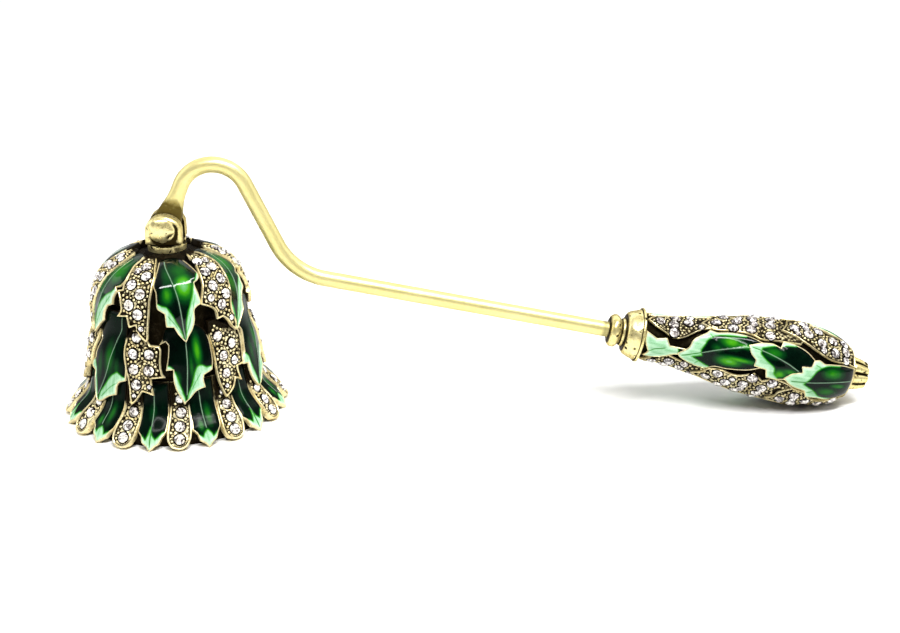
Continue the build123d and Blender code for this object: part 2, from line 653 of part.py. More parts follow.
# Stone-set plates of the row above it.
PLATE_3 = [
    (37.6, 66.0), (40.6, 57.0), (43.5, 50.5), (46.3, 39.8), (50.4, 33.0), (56.2, 34.0),
    (56.2, 80.0), (50.0, 80.5), (47.5, 85.0), (45.0, 101.0), (42.0, 104.0), (39.5, 92.0), (39.0, 80.0),
]
PLATE_2 = [
    (19.5, 70.0), (22.6, 56.0), (26.0, 56.5), (30.5, 51.5), (34.0, 45.0), (37.0, 51.0),
    (42.0, 46.0), (42.0, 92.0), (38.5, 98.0), (36.0, 91.0), (32.0, 103.0), (28.0, 96.0),
    (25.0, 99.0), (22.0, 90.0),
]
PLATE_1 = [
    (7.4, 66.0), (9.4, 48.0), (12.0, 40.0), (14.5, 33.0), (17.0, 41.0), (20.0, 54.0), (23.5, 60.0),
    (23.5, 90.0), (19.5, 102.0), (16.5, 98.0), (13.0, 106.0), (10.5, 92.0),
]
STONES_1 = [(10.6, 66.0), (13.6, 50.0), (13.9, 83.0), (16.9, 66.0)]
STONES_2 = [(23.0, 73.0), (26.2, 67.0), (26.6, 86.0), (29.6, 73.0), (32.6, 61.0), (33.0, 84.0), (36.0, 70.0)]
STONES_3 = [
    (40.8, 74.0), (44.0, 66.0), (43.4, 89.0), (46.6, 78.0), (47.2, 56.0), (50.2, 67.0), (50.6, 46.0),
    (53.6, 56.0), (53.4, 74.0),
]

handle_leaf_layer = handle_layer(0.0, HANDLE_LEAF_T, 6.9, 56.6)
handle_plate_layer = handle_layer(0.2, HANDLE_LEAF_T, 6.9, 56.6)
handle_recess_layer = handle_layer(-0.6, 0.55, 6.85, 56.75)
handle_enamel_layer = handle_layer(0.1, 0.54, 6.9, 56.5)


def handle_plane(theta):
    t = radians(theta)
    return Plane(origin=H0, x_dir=HD, z_dir=HE1 * cos(t) + HE2 * sin(t))


LEAF_THETA, PLATE_THETA = 8.0, 72.0
LEAF_PLANE, PLATE_PLANE = handle_plane(LEAF_THETA), handle_plane(PLATE_THETA)


def handle_flat(plane, outline):
    return flat_points(plane, [on_handle(s, t)[0] for s, t in outline])


def handle_leaf(outline, over, recess=False):
    """A leaf of the handle, cut back where the leaves over it lie."""
    flat = handle_flat(LEAF_PLANE, outline)
    with BuildPart() as one:
        add(cut_out(handle_leaf_layer, LEAF_PLANE, flat))
        for other in over:
            add(prism(LEAF_PLANE, shrink(handle_flat(LEAF_PLANE, other), -0.02)), mode=Mode.SUBTRACT)
    with BuildPart() as hollow:
        add(cut_out(handle_recess_layer, LEAF_PLANE, shrink(flat, 0.4)))
        for other in over:
            add(prism(LEAF_PLANE, shrink(handle_flat(LEAF_PLANE, other), -0.42)), mode=Mode.SUBTRACT)
    with BuildPart() as fill:
        add(cut_out(handle_enamel_layer, LEAF_PLANE, shrink(flat, 0.4 + 3 * GAP)))
        for other in over:
            add(prism(LEAF_PLANE, shrink(handle_flat(LEAF_PLANE, other), -0.47)), mode=Mode.SUBTRACT)
    with BuildPart() as framed:
        add(one.part)
        add(hollow.part, mode=Mode.SUBTRACT)
    return framed.part, fill.part


def handle_plate(outline, over, stones):
    """A stone-set plate, cut back along the enamelled leaves and the plates over it."""
    with BuildPart() as one:
        add(cut_out(handle_plate_layer, PLATE_PLANE, handle_flat(PLATE_PLANE, outline)))
        for other in over:
            add(prism(PLATE_PLANE, shrink(handle_flat(PLATE_PLANE, other), -0.02)), mode=Mode.SUBTRACT)
        for leaf_outline in (LEAF_A, LEAF_B, LEAF_C, LEAF_D):
            flat = shrink(handle_flat(LEAF_PLANE, leaf_outline), -0.05)
            add(prism(LEAF_PLANE, flat), mode=Mode.SUBTRACT)
            # The row on the plate's far side.
            add(prism(LEAF_PLANE, flat).rotate(HANDLE_AXIS, FAR_ROW), mode=Mode.SUBTRACT)
        for s, t in stones:
            position, normal = on_handle(s, t, 0.2)
            add(seat(position, normal), mode=Mode.SUBTRACT)
    return one.part


# Which way a turn of 120 degrees about the axis moves theta from the -Y row upward.
probe = on_handle(20, LEAF_THETA)[0]
turned = Vertex(probe.X, probe.Y, probe.Z).rotate(HANDLE_AXIS, 120).center()
FAR_ROW = 120 if (turned - on_handle(20, LEAF_THETA + 120)[0]).length < 0.1 else -120

leaf_c, fill_c = handle_leaf(LEAF_C, ())
leaf_b, fill_b = handle_leaf(LEAF_B, (LEAF_C,))
leaf_a, fill_a = handle_leaf(LEAF_A, (LEAF_B,))
leaf_d, fill_d = handle_leaf(LEAF_D, (LEAF_A,))
plate_3 = handle_plate(PLATE_3, (), STONES_3)
plate_2 = handle_plate(PLATE_2, (PLATE_3,), STONES_2)
plate_1 = handle_plate(PLATE_1, (PLATE_2,), STONES_1)

with BuildPart() as handle_leaf_frames:
    for turn in (0, 120, 240):
        for piece in (leaf_a, leaf_b, leaf_c, leaf_d):
            add(piece.rotate(HANDLE_AXIS, turn))
    # The leaf that the handle rests on is worn flat on the table.
    split(bisect_by=Plane.XY, keep=Keep.TOP)
handle_leaf_frames.part.label = "handle_leaf_frames"
export_step(handle_leaf_frames.part, "parts/handle_leaf_frames.step")

with BuildPart() as handle_leaf_enamel:
    for turn in (0, 120, 240):
        for piece in (fill_a, fill_b, fill_c, fill_d):
            add(piece.rotate(HANDLE_AXIS, turn))
handle_leaf_enamel.part.label = "handle_leaf_enamel"
export_step(handle_leaf_enamel.part, "parts/handle_leaf_enamel.step")

with BuildPart() as handle_stone_leaves:
    for turn in (0, 120, 240):
        for piece in (plate_1, plate_2, plate_3):
            add(piece.rotate(HANDLE_AXIS, turn))
    split(bisect_by=Plane.XY, keep=Keep.TOP)
handle_stone_leaves.part.label = "handle_stone_leaves"
export_step(handle_stone_leaves.part, "parts/handle_stone_leaves.step")

with BuildPart() as handle_stones:
    for turn in (0, 120, 240):
        for s, t in STONES_1 + STONES_2 + STONES_3:
            add(placed_stone(*on_handle(s, t, 0.2)).rotate(HANDLE_AXIS, turn))
handle_stones.part.label = "handle_stones"
export_step(handle_stones.part, "parts/handle_stones.step")

for node in (bell_cup, upper_leaf_frames, middle_leaf_frames, skirt_leaf_petals, skirt_stone_petals,
             clevis, hinge_pin, clevis_nut, wand_rod, collar, handle_core, end_finial,
             handle_leaf_frames, handle_leaf_enamel, handle_stone_leaves, handle_stones):
    box = node.part.bounding_box()
    print(node.part.label, len(node.part.solids()), round(node.part.volume, 1),
          [round(v, 2) for v in (*box.min, *box.max)])
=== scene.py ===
import math

import bpy
import numpy as np
from mathutils import Matrix, Vector
from mathutils.geometry import delaunay_2d_cdt


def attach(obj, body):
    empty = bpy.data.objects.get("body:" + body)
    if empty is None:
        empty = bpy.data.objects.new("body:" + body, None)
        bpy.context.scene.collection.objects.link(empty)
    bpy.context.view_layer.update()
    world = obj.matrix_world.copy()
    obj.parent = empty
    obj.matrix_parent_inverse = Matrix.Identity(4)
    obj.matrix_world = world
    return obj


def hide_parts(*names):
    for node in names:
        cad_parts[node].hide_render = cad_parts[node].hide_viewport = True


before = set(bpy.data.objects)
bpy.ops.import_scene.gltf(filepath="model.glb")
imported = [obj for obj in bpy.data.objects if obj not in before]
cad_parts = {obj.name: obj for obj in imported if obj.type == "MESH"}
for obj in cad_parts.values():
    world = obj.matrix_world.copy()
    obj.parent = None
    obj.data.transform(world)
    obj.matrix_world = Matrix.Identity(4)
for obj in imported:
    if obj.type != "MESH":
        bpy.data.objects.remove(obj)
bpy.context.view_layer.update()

MM = 0.001
rng = np.random.default_rng(7)

# ---------------------------------------------------------------- outline of the bell
BELL = np.array([
    (0.0, 4.0, 38.7), (2.5, 6.4, 38.4), (5.0, 8.8, 37.75), (7.5, 11.05, 36.8),
    (10.0, 13.15, 35.55), (12.5, 14.9, 33.85), (15.0, 16.1, 31.8), (17.5, 16.9, 29.45),
    (20.0, 17.4, 27.0), (25.0, 18.0, 22.1), (30.0, 18.7, 17.15), (35.0, 19.6, 12.25),
    (38.0, 20.2, 9.3), (40.0, 20.75, 7.4), (42.5, 21.9, 5.2), (45.0, 23.4, 3.15),
    (47.0, 24.6, 1.5), (48.8, 25.5, 0.0),
])
HANDLE = np.array([
    (6.0, 5.5), (10.0, 5.6), (13.0, 5.75), (16.0, 6.15), (19.0, 6.6), (22.0, 7.1),
    (25.0, 7.75), (28.0, 8.35), (31.0, 8.8), (34.0, 9.1), (37.0, 9.35), (40.0, 9.58),
    (43.0, 9.7), (45.5, 9.6), (48.0, 9.16), (50.8, 8.55), (53.8, 7.4), (55.4, 6.5),
    (57.2, 5.1),
])
H0 = np.array([100.0, 0.0, 18.22])
HD = np.array([0.98153, 0.0, -0.19130])
HE1 = np.array([0.0, -1.0, 0.0])
HE2 = np.array([0.19130, 0.0, 0.98153])
AZ_SHIFT = -1.2
PIN_Z = 43.5


def spline_table(x, y, n=900):
    """Smooth dense table of y over x: a natural cubic spline solved once."""
    m = len(x)
    h = np.diff(x)
    a = np.zeros((m, m))
    b = np.zeros(m)
    a[0, 0] = a[-1, -1] = 1
    for i in range(1, m - 1):
        a[i, i - 1], a[i, i], a[i, i + 1] = h[i - 1], 2 * (h[i - 1] + h[i]), h[i]
        b[i] = 3 * ((y[i + 1] - y[i]) / h[i] - (y[i] - y[i - 1]) / h[i - 1])
    c = np.linalg.solve(a, b)
    bb = (y[1:] - y[:-1]) / h - h * (2 * c[:-1] + c[1:]) / 3
    d = (c[1:] - c[:-1]) / (3 * h)
    t = np.linspace(x[0], x[-1], n)
    k = np.clip(np.searchsorted(x, t, side="right") - 1, 0, m - 2)
    q = t - x[k]
    return t, y[k] + bb[k] * q + c[k] * q * q + d[k] * q ** 3


class BellSurf:
    """The bell's outer outline: u is the arc length round the axis, v the length down from the crown."""

    def __init__(self):
        self.t, self.r = spline_table(BELL[:, 0], BELL[:, 1])
        _, self.z = spline_table(BELL[:, 0], BELL[:, 2])
        dr, dz = np.gradient(self.r, self.t), np.gradient(self.z, self.t)
        n = np.hypot(dr, dz)
        self.nr, self.nz = -dz / n, dr / n

    def to_uv(self, pts, centre):
        p = np.asarray(pts, float)
        r = np.interp(p[:, 1], self.t, self.r)
        return np.c_[np.radians(p[:, 0] - centre) * r, p[:, 1]]

    def pos(self, uv, h, centre):
        v = uv[:, 1]
        r, z = np.interp(v, self.t, self.r), np.interp(v, self.t, self.z)
        nr, nz = np.interp(v, self.t, self.nr), np.interp(v, self.t, self.nz)
        a = np.radians(centre + AZ_SHIFT) + uv[:, 0] / r
        rr, zz = r + h * nr, z + h * nz
        return np.c_[rr * np.sin(a), -rr * np.cos(a), zz]


class HandleSurf:
    """The handle's outer outline: u is the arc length round the axis, v the length from the collar."""

    def __init__(self):
        self.t, self.r = spline_table(HANDLE[:, 0], HANDLE[:, 1])
        self.dr = np.gradient(self.r, self.t)

    def to_uv(self, pts, centre):
        p = np.asarray(pts, float)
        r = np.interp(p[:, 0], self.t, self.r)
        return np.c_[np.radians(p[:, 1] - centre) * r, p[:, 0]]

    def pos(self, uv, h, centre):
        v = uv[:, 1]
        r, dr = np.interp(v, self.t, self.r), np.interp(v, self.t, self.dr)
        n = 1 / np.hypot(1, dr)
        a = np.radians(centre) + uv[:, 0] / r
        out = np.cos(a)[:, None] * HE1 + np.sin(a)[:, None] * HE2
        return H0 + HD * (v - h * dr * n)[:, None] + out * (r + h * n)[:, None]


bell, grip = BellSurf(), HandleSurf()


# ---------------------------------------------------------------- flat outline tools
def resample(poly, step, corner=38.0):
    """Closed outline through the points, smooth except at sharp turns, at an even step."""
    p = np.asarray(poly, float)
    n = len(p)
    a, b = p - np.roll(p, 1, 0), np.roll(p, -1, 0) - p
    turn = np.degrees(np.abs(np.angle((b[:, 0] + 1j * b[:, 1]) / (a[:, 0] + 1j * a[:, 1]))))
    sharp = turn > corner
    out = []
    for i in range(n):
        j = (i + 1) % n
        p0, p1 = p[i], p[j]
        d = np.linalg.norm(p1 - p0)
        m0 = (p1 - p[i - 1]) * 0.5 if not sharp[i] else (p1 - p0)
        m1 = (p[(j + 1) % n] - p0) * 0.5 if not sharp[j] else (p1 - p0)
        # Tangents never longer than the run they belong to.
        m0 = m0 * min(1.0, d / max(np.linalg.norm(m0), 1e-9))
        m1 = m1 * min(1.0, d / max(np.linalg.norm(m1), 1e-9))
        k = max(int(round(d / step)), 1)
        for t in np.arange(k) / k:
            t2, t3 = t * t, t ** 3
            out.append((2 * t3 - 3 * t2 + 1) * p0 + (t3 - 2 * t2 + t) * m0 + (3 * t2 - 2 * t3) * p1 + (t3 - t2) * m1)
    return np.array(out)


def open_curve(points, step=0.15):
    p = np.asarray(points, float)
    out = []
    for i in range(len(p) - 1):
        p0, p1 = p[i], p[i + 1]
        m0 = (p1 - p[i - 1]) * 0.5 if i > 0 else p1 - p0
        m1 = (p[i + 2] - p0) * 0.5 if i + 2 < len(p) else p1 - p0
        k = max(int(round(np.linalg.norm(p1 - p0) / step)), 1)
        for t in np.arange(k) / k:
            t2, t3 = t * t, t ** 3
            out.append((2 * t3 - 3 * t2 + 1) * p0 + (t3 - 2 * t2 + t) * m0 + (3 * t2 - 2 * t3) * p1 + (t3 - t2) * m1)
    out.append(p[-1])
    return np.array(out)


def seg_dist(q, line, closed):
    """Distance from points to a line, and the share of the way along it."""
    a = line
    b = np.roll(line, -1, 0) if closed else line[1:]
    if not closed:
        a = line[:-1]
    best = np.full(len(q), 1e9)
    along = np.zeros(len(q))
    for lo in range(0, len(q), 1500):
        s = q[lo:lo + 1500]
        ab = b - a
        ap = s[:, None, :] - a[None]
        t = np.clip((ap * ab[None]).sum(-1) / np.maximum((ab * ab).sum(-1), 1e-12)[None], 0, 1)
        d = np.linalg.norm(ap - t[..., None] * ab[None], axis=-1)
        k = d.argmin(1)
        best[lo:lo + 1500] = d[np.arange(len(s)), k]
        along[lo:lo + 1500] = (k + t[np.arange(len(s)), k]) / len(a)
    return best, along


def inside(q, poly):
    x, y = q[:, 0], q[:, 1]
    hit = np.zeros(len(q), bool)
    for (x0, y0), (x1, y1) in zip(poly, np.roll(poly, -1, 0)):
        if y0 == y1:
            continue
        hit ^= ((y0 > y) != (y1 > y)) & (x < (x1 - x0) * (y - y0) / (y1 - y0) + x0)
    return hit


def signed(q, poly):
    """Distance to a closed outline, positive inside."""
    d, _ = seg_dist(q, poly, True)
    return np.where(inside(q, poly), d, -d)


def smooth(x, a, b):
    t = np.clip((x - a) / (b - a), 0, 1)
    return t * t * (3 - 2 * t)


def rings_inside(line, d):
    """Points at a distance inside a closed outline, without the ones that run into each other."""
    nxt, prv = np.roll(line, -1, 0), np.roll(line, 1, 0)
    t = nxt - prv
    t /= np.maximum(np.linalg.norm(t, axis=1), 1e-9)[:, None]
    area = 0.5 * np.sum(line[:, 0] * nxt[:, 1] - nxt[:, 0] * line[:, 1])
    nrm = np.c_[-t[:, 1], t[:, 0]] * (1 if area > 0 else -1)
    q = line + nrm * d
    keep = (seg_dist(q, line, True)[0] > d * 0.9) & inside(q, line)
    q = q[keep]
    out = []
    for p in q:
        if not out or min(np.hypot(*(p - o)) for o in out[-6:]) > 0.09:
            out.append(p)
    return np.array(out).reshape(-1, 2)


def thin(points, gap):
    """The points in order, without those that lie nearer than a gap to an earlier one."""
    cells, keep = {}, []
    for i, (x, y) in enumerate(points.tolist()):
        a, b = math.floor(x / gap), math.floor(y / gap)
        near = False
        for da in (-1, 0, 1):
            for db in (-1, 0, 1):
                for px, py in cells.get((a + da, b + db), ()):
                    if (px - x) ** 2 + (py - y) ** 2 < gap * gap:
                        near = True
        if not near:
            cells.setdefault((a, b), []).append((x, y))
            keep.append(i)
    return points[keep]


def domain(line, grid, rings, extra=None):
    """Triangles over a closed outline: boundary, rings near it and an even grid inside."""
    lo, hi = line.min(0), line.max(0)
    gx, gy = np.meshgrid(np.arange(lo[0], hi[0], grid), np.arange(lo[1], hi[1], grid * 0.866))
    gx = gx + (np.arange(gx.shape[0]) % 2)[:, None] * grid * 0.5
    q = np.c_[gx.ravel(), gy.ravel()]
    margin = (max(rings) if rings else 0) + grid * 0.45
    q = q[inside(q, line)]
    q = q[seg_dist(q, line, True)[0] > margin] if len(q) else q
    pts = [line]
    for d in rings:
        pts.append(rings_inside(line, d))
    if extra is not None and len(extra):
        if len(q):
            near = np.min(np.linalg.norm(q[:, None] - extra[None], axis=-1), axis=1)
            q = q[near > grid * 0.4]
        pts.append(extra)
    pts.append(q)
    pts = np.vstack([p for p in pts if len(p)])
    n = len(line)
    _, _, faces, origin, _, _ = delaunay_2d_cdt(
        [Vector(p) for p in pts], [], [list(range(n))], 1, 1e-7)
    back = [o[0] if o else -1 for o in origin]
    tris = []
    for f in faces:
        t = [back[i] for i in f]
        if -1 not in t and len(set(t)) == 3:
            tris.append(t)
    return pts, np.array(tris)


def closed_sheet(line, grid, rings, extra=None):
    """Top triangles over the outline and coarse bottom triangles, sharing only the outline."""
    pts, top = domain(line, grid, rings, extra)
    low_pts, low = domain(line, 1.3, [])
    return pts, top, low_pts, low


class Batch:
    """Collects closed shells with point attributes for one piece."""

    def __init__(self):
        self.v, self.f, self.m, self.a, self.count = [], [], [], [], 0

    def add(self, verts, faces, mat=0, **attrs):
        verts = np.asarray(verts, float)
        self.v.append(verts)
        for f in faces:
            f = np.asarray(f) + self.count
            self.f.extend(f.tolist() if f.ndim == 2 else [f.tolist()])
            self.m.extend([mat] * (len(f) if f.ndim == 2 else 1))
        self.a.append((len(verts), attrs))
        self.count += len(verts)

    def build(self, name, mats, angle=40.0, smooth_all=True, lowest=0.0):
        v = np.vstack(self.v)
        v[:, 2] = np.maximum(v[:, 2], lowest)
        mesh = bpy.data.meshes.new(name)
        mesh.from_pydata((v * MM).tolist(), [], self.f)
        mesh.update()
        for k in sorted({k for _, at in self.a for k in at}):
            val = np.concatenate([np.broadcast_to(np.asarray(at.get(k, 0.0), np.float32), n) for n, at in self.a])
            mesh.attributes.new(k, "FLOAT", "POINT").data.foreach_set("value", np.ascontiguousarray(val, np.float32))
        for m in mats:
            mesh.materials.append(m)
        mesh.polygons.foreach_set("material_index", np.array(self.m, np.int32))
        mesh.polygons.foreach_set("use_smooth", np.full(len(self.f), smooth_all))
        if smooth_all and angle:
            mesh.set_sharp_from_angle(angle=math.radians(angle))
        obj = bpy.data.objects.new(name, mesh)
        bpy.context.scene.collection.objects.link(obj)
        return obj


def add_sheet(batch, surf, centres, line, parts, height, base, attrs, low_attrs=None, mat=0):
    """One leaf and its copies: a shaped top, an upright wall and a plain back."""
    pts, top, low_pts, low = parts
    n = len(line)
    h = height(pts)
    hb = base(low_pts)
    a = attrs(pts, h)
    for c in centres:
        vt = surf.pos(pts, h, c)
        vb = surf.pos(low_pts, hb, c)
        off = len(vt)
        sx = pts[top[0]]
        ccw = np.cross(sx[1] - sx[0], sx[2] - sx[0]) > 0
        # Outward order depends on the surface; test it on one triangle.
        t0 = vt[top[len(top) // 2]]
        nrm = np.cross(t0[1] - t0[0], t0[2] - t0[0])
        mid = pts[top[len(top) // 2]].mean(0)[None]
        out = surf.pos(mid, np.array([1.0]), c) - surf.pos(mid, np.array([0.0]), c)
        flip = np.dot(nrm, out[0]) < 0
        tt = top[:, ::-1] if flip else top
        bb = (low if flip else low[:, ::-1]) + off
        area = 0.5 * np.sum(line[:, 0] * np.roll(line[:, 1], -1) - np.roll(line[:, 0], -1) * line[:, 1])
        wall = []
        for i in range(n):
            j = (i + 1) % n
            q = [i, j, j + off, i + off]
            wall.append(q)
        # The wall faces away from the leaf.
        w = wall[0]
        allv = np.vstack([vt, vb])
        wn = np.cross(allv[w[1]] - allv[w[0]], allv[w[2]] - allv[w[0]])
        tang = line[1] - line[0]
        outward = np.array([tang[1], -tang[0]]) * (1 if area > 0 else -1)
        e = 0.05 * outward / max(np.hypot(*outward), 1e-9)
        side = surf.pos((line[0] + e)[None], np.array([0.0]), c) - surf.pos(line[0][None], np.array([0.0]), c)
        if np.dot(wn, side[0]) < 0:
            wall = [q[::-1] for q in wall]
        la = {k: (low_attrs or {}).get(k, 0.0) for k in a}
        merged = {k: np.concatenate([np.broadcast_to(val, len(vt)), np.broadcast_to(la[k], len(vb))]) for k, val in a.items()}
        batch.add(allv, [tt, bb, np.array(wall)], mat, **merged)


# ---------------------------------------------------------------- shapes of the leaves
def rim_bead(d, width, high, floor):
    """Height of a rounded metal edge at a distance from the outline, then the bed inside it."""
    half = width * 0.5
    up = high * np.sqrt(np.clip(1 - ((half - np.minimum(d, half)) / half) ** 2, 0, 1))
    down = high + (floor - high) * smooth(d, half * 1.15, width * 1.15)
    return np.where(d < half, up, down)


def const(value):
    return lambda v: np.full(len(np.atleast_1d(v)), float(value))


def knots(pairs):
    x, y = np.array(pairs, float).T
    return lambda v: np.interp(v, x, y)


UPPER_OUT = const(0.0)
MIDDLE_OUT = lambda v: 1.12 * (1 - smooth(v, 22.6, 30.0))
SKIRT_OUT = lambda v: 1.14 * (1 - smooth(v, 38.6, 44.6))


def enamel_leaf(surf, metal, glaze, centres, centre, outline, out, lift, thick,
                mint=(), bright=(), veins=(), side_veins=(), dome=0.22, rim=0.34, high=0.15,
                covers=(), step=0.2, grid=0.34, shade=0.0, dark=(), painted_shade_band=None, under=1.5):
    """One enamelled leaf and its copies: a beaded metal frame and a domed glaze in it."""
    uv = surf.to_uv(outline, centre)
    line = resample(uv, step)
    parts = closed_sheet(line, 0.8, [0.1, 0.2, 0.3, 0.42, 0.55])
    over = [resample(surf.to_uv(o, centre), 0.4) for o in covers]
    if not callable(lift):
        lift = const(lift)

    def level(p):
        """Height of the leaf's face: its lift, its tier's inset, and down where another leaf lies over it."""
        h = lift(p[:, 1]) - out(p[:, 1])
        for o in over:
            h = h - 0.75 * smooth(signed(p, o), -0.05, 0.4)
        return h

    def frame_height(p):
        d = seg_dist(p, line, True)[0]
        return level(p) + rim_bead(d, rim, high, -0.32)

    def frame_attr(p, h):
        d = seg_dist(p, line, True)[0]
        cav = smooth(d, rim * 0.7, rim * 1.1) * 0.9
        # Painted shade towards the leaf's upper end, under the tier or fitting above it.
        if painted_shade_band:
            cav = np.maximum(cav, 0.75 * (1 - smooth(p[:, 1], *painted_shade_band)))
        return {"cav": cav}

    # The side wall and the back take the under value: painted shade on the wall, darkest at its foot.
    add_sheet(metal, surf, centres, line, parts, frame_height,
              lambda p: -out(p[:, 1]) - thick, frame_attr, {"cav": under})

    inner = rings_inside(line, 0.13)
    vein_lines = [open_curve(surf.to_uv(v, centre), 0.2) for v in veins]
    side_lines = [open_curve(surf.to_uv(v, centre), 0.2) for v in side_veins]
    extra = []
    for v in vein_lines + side_lines:
        t = np.gradient(v, axis=0)
        t /= np.maximum(np.linalg.norm(t, axis=1), 1e-9)[:, None]
        nrm = np.c_[-t[:, 1], t[:, 0]]
        for o in (0.0, 0.09, -0.09, 0.2, -0.2):
            extra.append(v + nrm * o)
    extra = np.vstack(extra) if extra else np.zeros((0, 2))
    if len(extra):
        extra = extra[inside(extra, inner)]
        extra = extra[seg_dist(extra, inner, True)[0] > 0.35]
        extra = thin(extra, 0.07)
    parts = closed_sheet(inner, grid, [0.1, 0.22, 0.36], extra)
    mint_uv = [resample(surf.to_uv(m, centre), 0.3, 60) for m in mint]
    painted_glow_uv = [(surf.to_uv([b[:2]], centre)[0], b[2], b[3]) for b in bright]
    painted_shade_uv = [(surf.to_uv([b[:2]], centre)[0], b[2], b[3]) for b in dark]

    def fields(p):
        d = seg_dist(p, inner, True)[0]
        m = np.zeros(len(p))
        for poly in mint_uv:
            m = np.maximum(m, smooth(signed(p, poly), -0.42, 0.26))
        v, along = np.full(len(p), 9.0), np.zeros(len(p))
        for vl in vein_lines:
            dv, al = seg_dist(p, vl, False)
            along = np.where(dv < v, al, along)
            v = np.minimum(v, dv)
        sv = np.full(len(p), 9.0)
        for vl in side_lines:
            sv = np.minimum(sv, seg_dist(p, vl, False)[0])
        return d, m, v, sv, along

    def glaze_height(p):
        d, m, v, sv, _ = fields(p)
        h = 0.04 + dome * (1 - np.exp(-d / 0.8)) - 0.13 * np.exp(-d / 0.11)
        h = h + (0.10 * (1 - m) - 0.13 * m) * np.exp(-(v / 0.2) ** 2) + 0.05 * np.exp(-(v / 0.9) ** 2)
        h = h - 0.07 * m * np.exp(-(sv / 0.2) ** 2) + 0.03 * (1 - m) * np.exp(-(sv / 0.3) ** 2)
        return level(p) + h

    def glaze_attr(p, h):
        d, m, v, sv, _ = fields(p)
        b = np.full(len(p), 0.10 + shade)
        # Painted light: brighter green patches where light comes back through the enamel. Then painted shade: darker
        # spots.
        for c, rad, amp in painted_glow_uv:
            rad = np.atleast_1d(rad)
            q = (p - c) / rad
            b = np.maximum(b, amp * np.exp(-(q ** 2).sum(1)))
        for c, rad, amp in painted_shade_uv:
            b = b * (1 - amp * np.exp(-(((p - c) / np.atleast_1d(rad)) ** 2).sum(1)))
        # Thicker, darker enamel along the edge and beside the vein.
        b = b * (0.55 + 0.45 * smooth(d, 0.1, 0.9))
        brush = (np.sin(p[:, 0] * 6.1 + 0.5 * np.sin(p[:, 1] * 1.3)) + np.sin(p[:, 0] * 10.3 - p[:, 1] * 0.8 + 1.0)
                 + np.sin(p[:, 0] * 3.1 + p[:, 1] * 0.9 + 2.2)) / 3
        pale = 0.80 + 0.18 * smooth(1.0 - d, 0.0, 0.9) + 0.10 * brush
        tone = b * (1 - m) + m * pale
        # The vein: in the dark enamel a pale line, partly its metal wire and partly a painted glint on its ridge; in
        # the mint a dark groove.
        line_w = np.exp(-(v / 0.075) ** 2)
        side_w = np.exp(-(sv / 0.10) ** 2) * m
        vein = line_w * (1 - m)
        tone = tone * (1 - np.clip(line_w * m * 0.95 + side_w * 0.35, 0, 1)) + 0.22 * np.clip(line_w * m * 0.95 + side_w * 0.35, 0, 1)
        return {"tone": tone, "vein": vein}

    add_sheet(glaze, surf, centres, inner, parts, glaze_height,
              lambda p: level(p) - 0.3, glaze_attr, {"tone": 0.1})


# ---------------------------------------------------------------- stones, granules and their plates
def make_cut_stone():
    """Round cut stone of unit radius, facet by facet."""
    n = 8
    ring = lambda r, z, k0, m: [(r * math.cos(2 * math.pi * (k + k0) / m), r * math.sin(2 * math.pi * (k + k0) / m), z) for k in range(m)]
    v = [(0, 0, 0.34)] + ring(0.34, 0.34, 0.0, n) + ring(0.60, 0.33, 0.5, n) + ring(0.84, 0.20, 0.0, n) + ring(1.0, 0.02, 0.25, 2 * n)
    v += ring(0.98, -0.06, 0.25, 2 * n) + [(0, 0, -0.5)]
    C, S, T, K, G, L = 0, 1, 1 + n, 1 + 2 * n, 1 + 3 * n, 1 + 5 * n
    B = L + 2 * n
    f = []
    for k in range(n):
        k1 = (k + 1) % n
        a, b = G + (2 * k) % (2 * n), G + (2 * k + 1) % (2 * n)
        p = G + (2 * k - 1) % (2 * n)
        f += [(C, S + k, S + k1), (S + k, T + k, S + k1), (S + k, T + (k - 1) % n, T + k)]
        f += [(T + (k - 1) % n, K + k, T + k), (K + k, p, a), (T + k, K + k, a), (T + k, a, b), (T + k, b, K + k1)]
    for k in range(2 * n):
        k1 = (k + 1) % (2 * n)
        f += [(G + k, L + k, L + k1, G + k1), (L + k, B, L + k1)]
    v = np.array(v, float)
    out = []
    for q in f:
        p = v[list(q)]
        nrm = np.cross(p[1] - p[0], p[2] - p[0])
        out.append(q[::-1] if np.dot(nrm, p.mean(0) - np.array([0, 0, -0.1])) < 0 else q)
    return v, out


STONE_V, STONE_F = make_cut_stone()


def face_frame(surf, uv, h, centre, spin):
    """Point on a surface at a height, with its outward normal and a tangent turned by a spin."""
    uv = np.asarray(uv, float)[None]
    p = surf.pos(uv, np.array([h]), centre)[0]
    q = surf.pos(uv, np.array([h + 0.5]), centre)[0]
    r = surf.pos(uv + [[0.02, 0.0]], np.array([h]), centre)[0]
    n = (q - p) / np.linalg.norm(q - p)
    t = r - p
    t -= n * np.dot(t, n)
    t /= np.linalg.norm(t)
    b = np.cross(n, t)
    c, s = math.cos(spin), math.sin(spin)
    return p, t * c + b * s, b * c - t * s, n


